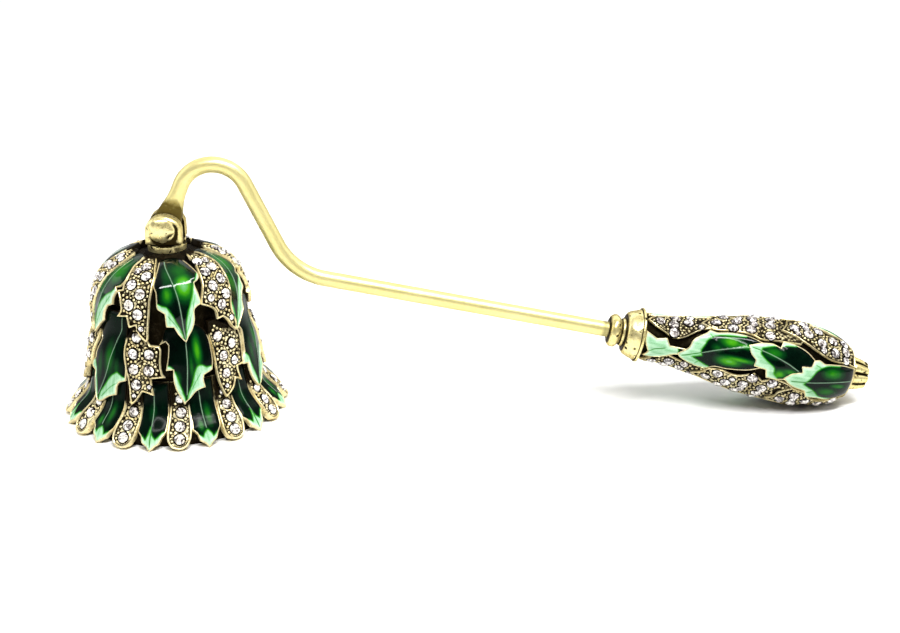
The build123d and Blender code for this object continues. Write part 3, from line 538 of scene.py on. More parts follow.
def add_stone(batch, surf, uv, h, centre, radius, painted_shade_dim=1.0):
    """A set stone, with a tone at each corner."""
    p, t, b, n = face_frame(surf, uv, h, centre, rng.uniform(0, math.pi))
    tilt = rng.normal(0, 0.05, 2)
    n2 = n + t * tilt[0] + b * tilt[1]
    n2 /= np.linalg.norm(n2)
    t2 = t - n2 * np.dot(t, n2)
    t2 /= np.linalg.norm(t2)
    b2 = np.cross(n2, t2)
    v = p + (STONE_V[:, :1] * t2 + STONE_V[:, 1:2] * b2 + STONE_V[:, 2:] * n2 * 1.15) * radius
    # The tone of a corner is a painted reflection: the light that the mirrored back would send up there.
    base = rng.choice([0.05, 0.35, 0.75, 1.0], len(v), p=[0.22, 0.25, 0.25, 0.28])
    base[0] = rng.choice([0.2, 0.9])
    base[1:9] = np.where(np.arange(8) % 2 == rng.integers(0, 2), rng.uniform(0.6, 1.0, 8), rng.uniform(0.0, 0.45, 8))
    base[9:17] = rng.choice([0.1, 0.5, 0.95], 8, p=[0.3, 0.3, 0.4])
    base[41:] = 0.0
    # The dim factor darkens all stones of a leaf: painted shade.
    batch.add(v, [list(q) for q in STONE_F], 0, tone=base * painted_shade_dim, tint=np.full(len(v), rng.uniform(0, 1)))


def ball_mesh():
    """Low dome of unit radius with a closed back."""
    v, f = [(0, 0, 1.0)], []
    rings, seg = (0.4, 0.8, 1.15, 1.57), 10
    for a in rings:
        v += [(math.sin(a) * math.cos(2 * math.pi * k / seg), math.sin(a) * math.sin(2 * math.pi * k / seg), math.cos(a)) for k in range(seg)]
    v.append((0, 0, -0.5))
    for k in range(seg):
        k1 = (k + 1) % seg
        f.append((0, 1 + k, 1 + k1))
        for r in range(3):
            a = 1 + r * seg
            f.append((a + k, a + seg + k, a + seg + k1, a + k1))
        f.append((1 + 3 * seg + k, len(v) - 1, 1 + 3 * seg + k1))
    return np.array(v, float), [list(q) for q in f]


BALL_V, BALL_F = ball_mesh()


def granule_spots(line, stones, most=14, least=0.17):
    """Centres and sizes of the granules that fill the room between the stones."""
    lo, hi = line.min(0), line.max(0)
    gx, gy = np.meshgrid(np.arange(lo[0], hi[0], 0.17), np.arange(lo[1], hi[1], 0.17))
    q = np.c_[gx.ravel(), gy.ravel()]
    q = q[inside(q, line)]
    room = seg_dist(q, line, True)[0] - 0.46
    crowd = np.full(len(q), 9.0)
    for c, r in stones:
        d = np.linalg.norm(q - c, axis=1) - r
        room = np.minimum(room, d - 0.2)
        crowd = np.minimum(crowd, d)
    # Granules stand first in the narrow places beside the stones, then in the wide ones.
    spots = []
    for _ in range(most):
        score = np.minimum(room, 0.33) - 0.12 * np.minimum(crowd, 2.0)
        score[room < least] = -9
        k = int(np.argmax(score))
        if room[k] < least:
            break
        r = float(min(room[k], 0.33))
        spots.append((q[k].copy(), r))
        room = np.minimum(room, np.linalg.norm(q - q[k], axis=1) - r - 0.3)
    return spots


def stone_leaf(surf, metal, stones, centres, centre, outline, gems, out, lift, thick,
               rim=0.38, high=0.26, bed=-0.12, radius=1.15, covers=(), step=0.2, grid=0.34, most=40,
               clip=None, painted_shade_band=None, under=1.4, painted_shade_dim=1.0):
    """One stone-set leaf and its copies: raised rim, bed, seats, granules and cut stones."""
    uv = surf.to_uv(outline, centre)
    line = resample(uv, step)
    if not callable(lift):
        lift = const(lift)
    over = [resample(surf.to_uv(o, centre), 0.4) for o in covers]
    seats = []
    for g in gems:
        c = surf.to_uv([g[:2]], centre)[0]
        r = radius * (g[2] if len(g) > 2 else 1.0)
        seats.append((c, r))
    spots = granule_spots(line, seats, most)
    extra = []
    for c, r in seats:
        for k, rr in enumerate((0.0, 0.6, 0.98, 1.09, 1.17, 1.27, 1.42)):
            m = 1 if rr == 0 else 22
            a = 2 * math.pi * (np.arange(m) + 0.5 * (k % 2)) / m
            extra.append(c + np.c_[np.cos(a), np.sin(a)] * r * rr)
    for c, r in spots:
        a = 2 * math.pi * np.arange(12) / 12
        extra.append(c + np.c_[np.cos(a), np.sin(a)] * (r + 0.03))
        extra.append(c + np.c_[np.cos(a + 0.26), np.sin(a + 0.26)] * (r + 0.14))
    extra = np.vstack(extra)
    extra = extra[inside(extra, line)]
    extra = extra[seg_dist(extra, line, True)[0] > 0.32]
    parts = closed_sheet(line, grid, [0.1, 0.22, 0.36, 0.5], thin(extra, 0.06))

    def level(p):
        h = lift(p[:, 1]) - out(p[:, 1])
        for o in over:
            h = h - 0.75 * smooth(signed(p, o), -0.05, 0.4)
        return h

    def near(p):
        g = np.full(len(p), 9.0)
        for c, r in seats:
            g = np.minimum(g, np.linalg.norm(p - c, axis=1) - r)
        s = np.full(len(p), 9.0)
        for c, r in spots:
            s = np.minimum(s, np.linalg.norm(p - c, axis=1) - r)
        return g, s

    def height(p):
        d = seg_dist(p, line, True)[0]
        g, s = near(p)
        h = rim_bead(d, rim, high, bed)
        ring = 0.2 * np.exp(-((g - 0.34) / 0.13) ** 2)
        h = h + ring * smooth(d, rim * 0.5, rim)
        rough = np.sin(p[:, 0] * 5.3 + 1.1 * np.sin(p[:, 1] * 3.1)) * np.sin(p[:, 1] * 4.7 + 0.8 * np.sin(p[:, 0] * 2.3))
        h = h + 0.07 * rough * smooth(d, rim, rim + 0.3) * smooth(g, 0.4, 0.7)
        h = np.where(g < 0.15, bed - 0.26, h)
        h = h - 0.06 * np.exp(-(s / 0.09) ** 2)
        return level(p) + h

    def attr(p, h):
        d = seg_dist(p, line, True)[0]
        g, s = near(p)
        cav = np.maximum(smooth(0.22 - g, -0.04, 0.05), 0)
        cav = np.maximum(cav, 0.95 * np.exp(-((d - rim - 0.07) / 0.12) ** 2))
        cav = np.maximum(cav, 1.0 * np.exp(-((s - 0.06) / 0.12) ** 2))
        rough = np.sin(p[:, 0] * 5.3 + 1.1 * np.sin(p[:, 1] * 3.1)) * np.sin(p[:, 1] * 4.7 + 0.8 * np.sin(p[:, 0] * 2.3))
        cav = np.maximum(cav, (0.54 - 0.22 * rough) * smooth(g, 0.5, 0.7) * smooth(d, rim, rim + 0.15))
        # Painted shade towards the plate's upper end, under the tier or fitting above it.
        if painted_shade_band:
            cav = np.maximum(cav, 0.7 * (1 - smooth(p[:, 1], *painted_shade_band)))
        return {"cav": cav}

    # The side wall and the back take the under value: painted shade on the wall, darkest at its foot.
    add_sheet(metal, surf, centres, line, parts, height,
              lambda p: -out(p[:, 1]) - thick, attr, {"cav": under})
    for c0 in centres:
        for c, r in seats:
            if over and max(signed(c[None], o)[0] for o in over) > -0.3:
                continue
            at = level(c[None])[0] + bed + 0.16
            if clip is not None and not clip(surf.pos(c[None], np.array([at]), c0)[0]):
                continue
            add_stone(stones, surf, c, at, c0, r, painted_shade_dim)
        for c, r in spots:
            if over and max(signed(c[None], o)[0] for o in over) > -0.2:
                continue
            at = level(c[None])[0] + bed
            p, t, b, n = face_frame(surf, c, at - 0.04, c0, 0.0)
            if clip is not None and not clip(p):
                continue
            v = p + (BALL_V[:, :1] * t + BALL_V[:, 1:2] * b + BALL_V[:, 2:] * n * 0.95) * r
            metal.add(v, BALL_F, 0, cav=np.clip(0.9 - BALL_V[:, 2] * 1.4, 0, 1))


# ---------------------------------------------------------------- materials
def new_material(name):
    m = bpy.data.materials.new(name)
    m.use_nodes = True
    nt = m.node_tree
    return m, nt, nt.nodes["Principled BSDF"]


def node(nt, kind, **inputs):
    n = nt.nodes.new(kind)
    for k, val in inputs.items():
        if k.startswith("_"):
            setattr(n, k[1:], val)
        else:
            n.inputs[k.replace("__", " ")].default_value = val
    return n


def ramp(nt, fac, stops, ease="LINEAR"):
    r = nt.nodes.new("ShaderNodeValToRGB")
    r.color_ramp.interpolation = ease
    e = r.color_ramp.elements
    while len(e) < len(stops):
        e.new(0.5)
    for el, (pos, col) in zip(e, stops):
        el.position = pos
        el.color = (*col, 1.0) if len(col) == 3 else col
    nt.links.new(fac, r.inputs["Fac"])
    return r.outputs["Color"]


def math_node(nt, op, a, b=None, clamp=False):
    n = nt.nodes.new("ShaderNodeMath")
    n.operation = op
    n.use_clamp = clamp
    for i, val in enumerate((a, b)):
        if val is None:
            continue
        if isinstance(val, (int, float)):
            n.inputs[i].default_value = val
        else:
            nt.links.new(val, n.inputs[i])
    return n.outputs[0]


def mix_colour(nt, fac, a, b, how="MIX"):
    n = nt.nodes.new("ShaderNodeMix")
    n.data_type = "RGBA"
    n.blend_type = how
    for i, val in ((0, fac), (6, a), (7, b)):
        if isinstance(val, (int, float)):
            n.inputs[i].default_value = val
        elif isinstance(val, tuple):
            n.inputs[i].default_value = (*val, 1.0)
        else:
            nt.links.new(val, n.inputs[i])
    return n.outputs[2]


def noise(nt, scale, detail=4.0, rough=0.55, stretch=None, warp=0.0):
    """Noise in the object's own metres."""
    tc = nt.nodes.new("ShaderNodeTexCoord")
    src = tc.outputs["Object"]
    if stretch:
        mp = nt.nodes.new("ShaderNodeMapping")
        mp.inputs["Scale"].default_value = stretch
        nt.links.new(src, mp.inputs["Vector"])
        src = mp.outputs["Vector"]
    n = nt.nodes.new("ShaderNodeTexNoise")
    n.inputs["Scale"].default_value = scale
    n.inputs["Detail"].default_value = detail
    n.inputs["Roughness"].default_value = rough
    n.inputs["Distortion"].default_value = warp
    nt.links.new(src, n.inputs["Vector"])
    return n.outputs["Fac"]


def attribute(nt, name):
    n = nt.nodes.new("ShaderNodeAttribute")
    n.attribute_name = name
    return n.outputs["Fac"]


def bump(nt, bsdf, height, strength, distance, extra=None):
    n = nt.nodes.new("ShaderNodeBump")
    n.inputs["Strength"].default_value = strength
    n.inputs["Distance"].default_value = distance
    nt.links.new(height, n.inputs["Height"])
    if extra is not None:
        nt.links.new(extra, n.inputs["Normal"])
    nt.links.new(n.outputs["Normal"], bsdf.inputs["Normal"])
    return n.outputs["Normal"]


def old_gold(name, bright, mid, dark, rough=(0.2, 0.42), use_hollow_and_shade=True, pits=0.0, scale=900.0, patina=0.0, streak=None,
             shine=0.8, depth=0.55, fade=(0.34, 0.62)):
    """Antique gold plate: bright where it is rubbed, olive between, brown-black in the hollows and where shade is
    painted.
    """
    m, nt, b = new_material(name)
    big = noise(nt, scale * 0.3, 4, 0.6)
    fine = noise(nt, scale * 2.4, 5, 0.65, streak)
    tone = math_node(nt, "ADD", math_node(nt, "MULTIPLY", big, 0.6), math_node(nt, "MULTIPLY", fine, 0.4))
    col = ramp(nt, tone, [(0.30, mid), (0.50, tuple(0.5 * (p + q) for p, q in zip(mid, bright))), (0.66, bright)])
    wear = math_node(nt, "MULTIPLY", noise(nt, scale * 1.1, 6, 0.7), 1.0)
    if use_hollow_and_shade:
        cav = attribute(nt, "cav")
        edge = math_node(nt, "ADD", cav, math_node(nt, "MULTIPLY", math_node(nt, "SUBTRACT", wear, 0.5), 0.75))
        low = ramp(nt, edge, [(fade[0], (0, 0, 0)), (fade[1], (1, 1, 1))])
    else:
        low = ramp(nt, wear, [(0.60 - 0.25 * patina, (0, 0, 0)), (0.72 - 0.2 * patina, (1, 1, 1))])
    if pits:
        spots = noise(nt, scale * 1.7, 2, 0.4)
        dots = ramp(nt, spots, [(0.70 - pits * 0.08, (0, 0, 0)), (0.76 - pits * 0.08, (1, 1, 1))])
        low = mix_colour(nt, 1.0, low, dots, "LIGHTEN")
    col = mix_colour(nt, low, col, dark)
    nt.links.new(col, b.inputs["Base Color"])
    b.inputs["Specular Tint"].default_value = (0.30, 0.22, 0.08, 1.0)
    metal = nt.nodes.new("ShaderNodeMapRange")
    metal.inputs["To Min"].default_value = shine
    metal.inputs["To Max"].default_value = 0.5
    nt.links.new(low, metal.inputs["Value"])
    nt.links.new(metal.outputs[0], b.inputs["Metallic"])
    rg = nt.nodes.new("ShaderNodeMapRange")
    rg.inputs["From Min"].default_value = 0.3
    rg.inputs["From Max"].default_value = 0.7
    rg.inputs["To Min"].default_value = rough[0]
    rg.inputs["To Max"].default_value = rough[1]
    nt.links.new(fine, rg.inputs["Value"])
    rr = math_node(nt, "ADD", rg.outputs[0], math_node(nt, "MULTIPLY", low, 0.22))
    nt.links.new(rr, b.inputs["Roughness"])
    hgt = math_node(nt, "ADD", math_node(nt, "MULTIPLY", fine, 0.5), math_node(nt, "MULTIPLY", big, 0.8))
    hgt = math_node(nt, "SUBTRACT", hgt, math_node(nt, "MULTIPLY", low, 0.4))
    bump(nt, b, hgt, depth, 0.00009)
    return m


leaf_gold = old_gold("leaf_gold", (0.90, 0.81, 0.52), (0.72, 0.60, 0.30), (0.006, 0.004, 0.002), (0.24, 0.42), shine=0.62)
plate_gold = old_gold("plate_gold", (0.97, 0.88, 0.56), (0.72, 0.57, 0.24), (0.006, 0.004, 0.002), (0.22, 0.42), shine=0.66)
# A darker copy of the plate gold for the handle's plates: painted shade.
shaded_grip_gold = old_gold("shaded_grip_gold", (0.78, 0.70, 0.44), (0.46, 0.37, 0.15), (0.006, 0.004, 0.002), (0.22, 0.42), shine=0.70, fade=(0.28, 0.56))
fitting_gold = old_gold("fitting_gold", (0.93, 0.83, 0.44), (0.66, 0.53, 0.18), (0.020, 0.013, 0.003), (0.22, 0.40), True, 0.9,
                        500.0, shine=0.75)
rod_gold = old_gold("rod_gold", (0.81, 0.72, 0.34), (0.725, 0.63, 0.245), (0.13, 0.10, 0.025), (0.34, 0.42), True, 0.0, 500.0,
                    shine=0.6, depth=0.16, fade=(0.16, 0.95))
# Near-black gold for the cup and core seen between the leaves and inside the mouth: dark patina with painted shade.
patina_and_shade_gold = old_gold("patina_and_shade_gold", (0.034, 0.026, 0.015), (0.008, 0.0065, 0.004), (0.003, 0.002, 0.001), (0.3, 0.55), False, 0.3,
                       900.0, 1.0)


def make_enamel(name, gloss):
    """Translucent green over engraved metal, turning to an opaque pale mint at the tips."""
    m, nt, b = new_material(name)
    tone = attribute(nt, "tone")
    cloud = noise(nt, 260.0, 3, 0.5)
    streaks = noise(nt, 1500.0, 3, 0.6, (1.0, 1.0, 0.3))
    t = math_node(nt, "ADD", tone, math_node(nt, "MULTIPLY", math_node(nt, "SUBTRACT", cloud, 0.5), 0.10))
    t = math_node(nt, "ADD", t, math_node(nt, "MULTIPLY", math_node(nt, "SUBTRACT", streaks, 0.5), 0.07))
    col = ramp(nt, t, [(0.0, (0.0004, 0.0012, 0.0009)), (0.10, (0.0006, 0.005, 0.0025)), (0.24, (0.0014, 0.034, 0.006)),
                       (0.40, (0.007, 0.12, 0.006)), (0.55, (0.052, 0.30, 0.006)), (0.66, (0.12, 0.38, 0.13)),
                       (0.80, (0.31, 0.56, 0.34)), (1.0, (0.58, 0.80, 0.58))])
    # Paler along the vein: partly metal wire, partly painted glint.
    vein = attribute(nt, "vein")
    col = mix_colour(nt, math_node(nt, "MULTIPLY", vein, 0.62, True), col, (0.34, 0.56, 0.36))
    nt.links.new(col, b.inputs["Base Color"])
    b.inputs["Roughness"].default_value = 0.07 if gloss > 0.1 else 0.17
    b.inputs["IOR"].default_value = 1.45
    b.inputs["Specular IOR Level"].default_value = gloss
    bump(nt, b, math_node(nt, "ADD", cloud, math_node(nt, "MULTIPLY", streaks, 0.12)), 0.35, 0.00008)
    return m


def make_stone():
    """Clear stone on a mirrored back: pale, grey, lilac and dark facets, their tones painted reflections."""
    m, nt, b = new_material("clear_stone")
    tone = attribute(nt, "tone")
    fine = noise(nt, 2600.0, 2, 0.5)
    t = math_node(nt, "ADD", tone, math_node(nt, "MULTIPLY", math_node(nt, "SUBTRACT", fine, 0.5), 0.35))
    col = ramp(nt, t, [(0.0, (0.012, 0.010, 0.010)), (0.22, (0.12, 0.10, 0.10)), (0.40, (0.55, 0.51, 0.50)),
                       (0.56, (0.97, 0.955, 0.90)), (1.0, (1.0, 1.0, 0.97))])
    tint = attribute(nt, "tint")
    col = mix_colour(nt, math_node(nt, "MULTIPLY", tint, 0.5), col, (0.90, 0.81, 0.69), "MULTIPLY")
    nt.links.new(col, b.inputs["Base Color"])
    b.inputs["Metallic"].default_value = 0.25
    b.inputs["Roughness"].default_value = 0.08
    b.inputs["IOR"].default_value = 1.6
    b.inputs["Coat Weight"].default_value = 1.0
    b.inputs["Coat Roughness"].default_value = 0.02
    b.inputs["Coat IOR"].default_value = 1.7
    bump(nt, b, fine, 0.1, 0.00002)
    return m


def make_steel():
    m, nt, b = new_material("nut_steel")
    fine = noise(nt, 1800.0, 5, 0.6)
    big = noise(nt, 500.0, 3, 0.5)
    col = ramp(nt, math_node(nt, "ADD", math_node(nt, "MULTIPLY", fine, 0.5), math_node(nt, "MULTIPLY", big, 0.5)),
               [(0.35, (0.16, 0.15, 0.13)), (0.65, (0.52, 0.51, 0.48))])
    nt.links.new(col, b.inputs["Base Color"])
    b.inputs["Metallic"].default_value = 0.9
    nt.links.new(math_node(nt, "ADD", math_node(nt, "MULTIPLY", fine, 0.35), 0.22), b.inputs["Roughness"])
    bump(nt, b, fine, 0.4, 0.00005)
    return m


top_enamel, low_enamel, grip_enamel = make_enamel("green_enamel", 0.30), make_enamel("deep_enamel", 0.055), make_enamel("grip_enamel", 0.13)
stone_mat, steel_mat = make_stone(), make_steel()

# ---------------------------------------------------------------- leaves of the bell
def copies(*angles):
    return [float(a) for a in angles]


U1 = [(-0.4, 4.6), (5.5, 3.9), (13.8, 3.6), (25.8, 3.9), (32.4, 4.9), (35.8, 6.5), (37.8, 7.9), (39.3, 9.2), (39.6, 10.1),
      (38.4, 10.85), (36.0, 11.4), (32.7, 11.8), (32.4, 12.7), (33.3, 14.2), (33.9, 15.7), (34.2, 16.65),
      (30.6, 17.1), (28.5, 17.6), (27.9, 18.3), (27.6, 19.8), (26.4, 21.1), (24.6, 22.3), (22.2, 23.4),
      (20.1, 24.7), (17.4, 23.75), (15.3, 22.8), (13.8, 21.9), (12.65, 21.1), (7.3, 20.95), (7.0, 19.8),
      (6.7, 18.1), (4.3, 17.6), (1.9, 17.1), (1.0, 16.5), (0.7, 15.0), (0.2, 13.5), (-2.3, 11.8), (-1.4, 9.4),
      (-0.9, 7.2)]
U1_MINT = [
    [(-1.0, 15.4), (4.0, 16.3), (8.5, 16.8), (12.0, 18.4), (15.0, 20.4), (17.6, 22.4), (19.5, 25.6), (12.0, 25.0),
     (5.0, 22.5), (-2.0, 18.5)],
    [(42.0, 8.6), (38.6, 9.6), (35.6, 10.8), (32.0, 12.0), (29.4, 13.9), (26.4, 15.9), (23.4, 18.0), (21.3, 20.6),
     (20.4, 25.6), (28.0, 23.5), (37.0, 18.0), (37.0, 12.5), (42.0, 11.5)],
]
U1_PAINTED_GLOW = [(8.0, 13.9, (1.7, 2.4), 0.56), (23.0, 12.3, (2.3, 3.4), 0.66), (9.0, 10.0, (2.6, 4.0), 0.28),
             (22.5, 8.5, (3.4, 4.2), 0.33)]
U1_PAINTED_SHADE = [(0.5, 10.0, (1.1, 5.5), 0.9), (16.0, 4.6, (5.0, 1.6), 0.6), (36.5, 8.0, (1.2, 2.4), 0.7), (14.5, 18.5, (0.9, 2.4), 0.5)]
U1_VEIN = [(6.4, 5.4), (7.9, 7.1), (10.3, 8.8), (12.7, 10.5), (15.0, 12.5), (16.5, 14.2), (17.4, 15.9), (18.3, 18.7),
           (18.9, 21.5), (19.9, 24.0)]
U1_SIDE = [[(9.0, 18.6), (13.0, 20.2), (17.0, 22.4)], [(30.5, 14.6), (26.0, 18.4), (21.2, 22.4)]]

U2 = [(-61.0, 3.1), (-46.0, 2.3), (-32.0, 2.8), (-29.9, 5.4), (-29.7, 8.3), (-29.2, 11.1), (-31.5, 12.6), (-36.6, 13.2),
      (-34.5, 14.2), (-36.2, 15.4), (-36.0, 17.1), (-42.0, 17.8), (-44.5, 19.4), (-45.0, 21.4), (-49.5, 22.6),
      (-53.0, 23.7), (-57.5, 25.1), (-60.0, 22.5), (-63.0, 20.0), (-62.2, 17.5), (-68.0, 16.5), (-66.4, 13.0),
      (-69.0, 10.0), (-65.0, 7.0)]
U2_MINT = [
    [(-27.0, 12.0), (-34.0, 12.7), (-39.0, 14.4), (-44.5, 15.6), (-50.5, 18.0), (-55.5, 21.6), (-57.3, 26.0),
     (-48.0, 25.0), (-38.0, 20.0), (-32.0, 15.0)],
    [(-72.0, 9.4), (-66.5, 11.0), (-64.5, 14.2), (-60.5, 16.6), (-58.4, 20.4), (-57.8, 26.0), (-66.0, 22.0), (-72.0, 16.5)],
]
U2_PAINTED_GLOW = [(-42.0, 9.5, (3.0, 4.6), 0.42), (-52.0, 14.0, (2.0, 4.0), 0.34), (-36.0, 7.0, (2.4, 3.4), 0.28)]
U2_VEIN = [(-42.2, 5.4), (-43.0, 7.0), (-46.0, 11.0), (-50.0, 16.0), (-54.0, 20.5), (-57.3, 24.2)]
U2_SIDE = [[(-40.0, 15.6), (-47.0, 18.8), (-54.5, 22.9)]]

S1 = [(-26.5, 3.6), (-17.0, 3.0), (-7.4, 3.4), (-4.0, 4.9), (-2.9, 7.1), (-1.4, 9.0), (-1.7, 10.5), (-2.3, 11.8), (-2.9, 13.5),
      (-3.8, 15.3), (-4.1, 17.6), (-4.7, 19.6), (-5.3, 21.7), (-5.6, 23.6), (-6.8, 24.3), (-9.5, 23.6),
      (-12.5, 22.4), (-14.3, 20.7), (-16.1, 21.0), (-19.4, 21.4), (-20.6, 19.8), (-21.5, 19.0), (-25.6, 19.2),
      (-29.8, 19.3), (-27.7, 18.5), (-26.5, 17.6), (-27.7, 16.3), (-29.2, 15.2), (-32.8, 13.7), (-28.0, 13.3),
      (-28.6, 12.2), (-27.7, 11.2), (-28.6, 9.9), (-29.8, 8.4), (-30.6, 7.1), (-28.9, 5.0)]
S1_GEMS = [(-14.3, 6.9), (-10.1, 9.6), (-21.3, 12.0), (-12.2, 13.9), (-20.3, 16.5), (-12.8, 18.3),
           (-21.4, 8.4, 0.75), (-10.4, 21.4, 0.5)]
S2 = [(44.0, 3.0), (54.5, 2.4), (62.5, 2.9), (68.6, 5.0), (70.0, 8.2), (68.0, 10.4), (66.0, 12.2), (64.0, 14.6),
      (61.5, 16.8), (59.5, 18.5), (59.5, 20.4), (61.5, 23.0), (60.0, 24.8), (56.0, 23.4), (53.0, 21.7),
      (49.5, 20.7), (44.5, 20.9), (44.0, 19.0), (41.0, 18.0), (33.6, 16.9), (34.5, 15.8), (38.5, 12.6),
      (39.6, 11.1), (41.6, 8.5), (43.6, 6.6)]
S2_GEMS = [(48.5, 6.6), (47.7, 9.9), (58.6, 9.2), (58.2, 12.5), (47.6, 13.5), (57.0, 16.1), (50.7, 18.0),
           (42.6, 16.0, 0.7), (60.0, 6.9, 0.7), (57.4, 21.6, 0.55)]

M1 = [(5.4, 21.6), (3.6, 23.2), (3.2, 24.2), (1.2, 25.2), (5.9, 24.5), (7.7, 25.3), (7.0, 27.8), (5.3, 30.7),
      (10.1, 30.6), (9.7, 31.9), (10.1, 33.6), (11.4, 35.3), (13.5, 36.8), (15.5, 38.3), (19.6, 37.2),
      (23.0, 36.0), (26.5, 35.5), (29.9, 35.3), (29.2, 33.6), (29.9, 32.5), (33.3, 32.1), (36.0, 31.7),
      (37.2, 29.6), (37.6, 25.0), (35.0, 22.8), (28.6, 21.2), (16.0, 20.4)]
M1_MINT = [
    [(3.0, 29.6), (8.5, 29.9), (11.2, 31.4), (13.2, 33.6), (15.0, 35.6), (16.2, 37.4), (15.6, 40.0), (8.0, 38.0), (3.0, 33.0)],
    [(37.5, 30.9), (32.0, 30.8), (28.4, 30.2), (25.4, 30.6), (23.0, 32.6), (20.6, 34.8), (18.4, 36.4), (17.0, 39.8),
     (26.0, 38.5), (34.0, 36.0), (38.5, 33.0)],
]
M1_PAINTED_GLOW = [(27.0, 27.0, (1.1, 4.0), 0.54), (22.0, 30.0, (0.7, 4.2), 0.34), (13.0, 32.4, (0.8, 2.0), 0.32)]
M1_PAINTED_SHADE = [(10.0, 25.0, (3.0, 4.5), 0.85), (35.0, 27.0, (1.0, 6.0), 0.7)]
M1_VEIN = [[(20.0, 20.0), (20.0, 24.6), (19.3, 30.0), (17.6, 36.2)]]
M1_SIDE = [[(24.4, 20.0), (23.4, 24.2), (21.7, 28.9), (18.9, 34.5)], [(27.5, 32.0), (22.0, 34.6), (18.0, 37.2)]]

M2 = [(-54.0, 18.6), (-51.5, 24.9), (-49.8, 25.9), (-51.5, 27.4), (-53.5, 29.1), (-54.2, 30.6), (-58.0, 31.7),
      (-58.0, 33.2), (-52.6, 33.6), (-52.5, 35.3), (-50.1, 38.1), (-46.4, 40.0), (-41.9, 39.6), (-37.8, 38.5),
      (-33.7, 37.7), (-29.6, 37.2), (-29.3, 35.3), (-27.6, 34.25), (-22.4, 33.6), (-22.2, 30.4), (-24.0, 26.1),
      (-22.4, 18.6)]
M2_MINT = [
    [(-60.0, 30.6), (-54.5, 31.0), (-51.4, 32.0), (-49.6, 34.4), (-47.8, 36.6), (-46.6, 38.4), (-46.0, 42.0), (-54.0, 40.0),
     (-61.0, 34.0)],
    [(-19.0, 32.8), (-24.0, 32.9), (-29.0, 32.0), (-34.0, 33.2), (-39.0, 35.6), (-43.5, 38.2), (-45.6, 42.0),
     (-34.0, 41.0), (-25.0, 37.0), (-20.0, 35.0)],
]
M2_PAINTED_GLOW = [(-37.0, 29.5, (1.8, 4.6), 0.36), (-46.0, 31.5, (1.2, 4.0), 0.28), (-30.0, 31.0, (1.0, 2.6), 0.26)]
M2_VEIN = [[(-28.0, 20.0), (-28.2, 22.5), (-31.7, 25.1), (-35.1, 28.9), (-39.2, 33.8), (-44.6, 38.1)]]
M2_SIDE = [[(-27.0, 34.0), (-34.0, 35.6), (-42.0, 38.4)]]

MS1 = [(-9.6, 22.9), (-14.0, 21.4), (-20.4, 21.6), (-21.1, 22.5), (-24.1, 24.2), (-24.8, 26.1), (-23.8, 28.3), (-22.1, 30.4), (-20.4, 32.5),
       (-19.0, 34.7), (-18.3, 37.0), (-17.3, 38.6), (-14.6, 37.8), (-12.2, 36.6), (-10.1, 35.4), (-7.0, 35.7),
       (-2.9, 36.2), (-3.6, 34.5), (-4.3, 32.5), (0.5, 32.3), (4.9, 32.2), (2.9, 31.3), (2.2, 28.9),
       (2.5, 26.3), (1.3, 25.4), (-5.4, 25.2)]
MS1_GEMS = [(-16.1, 23.9, 0.96), (-17.3, 27.3), (-5.7, 27.2), (-16.3, 30.6), (-5.7, 30.7), (-14.4, 34.0),
            (-15.6, 36.5, 0.45), (-5.6, 34.3, 0.4)]
MS2 = [(38.2, 21.2), (37.9, 24.2), (38.3, 27.5), (38.2, 30.7), (38.5, 33.6), (39.5, 35.5), (41.0, 37.3), (42.5, 38.7),
       (47.0, 37.7), (49.5, 36.8), (52.0, 35.2), (57.0, 36.3), (55.4, 34.1), (55.5, 32.7), (62.5, 32.8),
       (61.8, 31.3), (63.6, 28.6), (66.0, 26.3), (65.6, 23.4), (58.0, 23.2), (50.0, 22.0), (44.0, 21.0)]
MS2_GEMS = [(45.0, 25.0), (54.9, 27.4), (45.5, 29.4, 0.95), (54.0, 31.2, 0.9), (45.5, 33.4, 0.9), (44.4, 36.2, 0.42)]

# Twelve petals of each sort round the mouth.
K_STONE = [(7.0, 33.6), (7.0, 37.0), (6.0, 40.7), (4.9, 43.9), (4.9, 46.0), (6.6, 47.5), (8.6, 48.0), (10.9, 48.25),
           (13.4, 48.0), (15.5, 47.3), (17.4, 45.6), (18.6, 42.8), (18.9, 39.0), (18.6, 33.6)]
K_GEMS = [(13.0, 37.4, 0.8), (13.1, 40.2, 0.95), (11.9, 43.2, 1.0), (11.2, 46.0, 1.0)]
K_ENAMEL = [(-12.1, 33.6), (-11.7, 38.3), (-11.4, 42.8), (-11.7, 44.2), (-9.4, 45.2), (-8.4, 46.6), (-5.9, 47.5),
            (-4.2, 48.6), (-1.9, 47.5), (0.4, 46.8), (2.2, 45.4), (4.3, 44.2), (5.6, 40.7), (6.2, 33.6)]
K_MINT_A = [[(-13.0, 44.3), (-9.0, 45.1), (-6.6, 46.2), (-5.2, 44.9), (-4.2, 43.2), (-3.4, 44.9), (-1.4, 46.0),
             (3.0, 44.3), (6.0, 44.4), (2.0, 48.0), (-4.2, 50.0), (-12.0, 47.0)]]
K_MINT_B = [[(-13.0, 44.6), (-9.0, 45.4), (-6.4, 46.3), (-5.6, 45.4), (-3.6, 44.6), (-1.8, 45.6), (-1.2, 46.4),
             (2.4, 45.2), (6.0, 44.8), (2.0, 48.0), (-4.2, 50.0), (-12.0, 47.0)]]

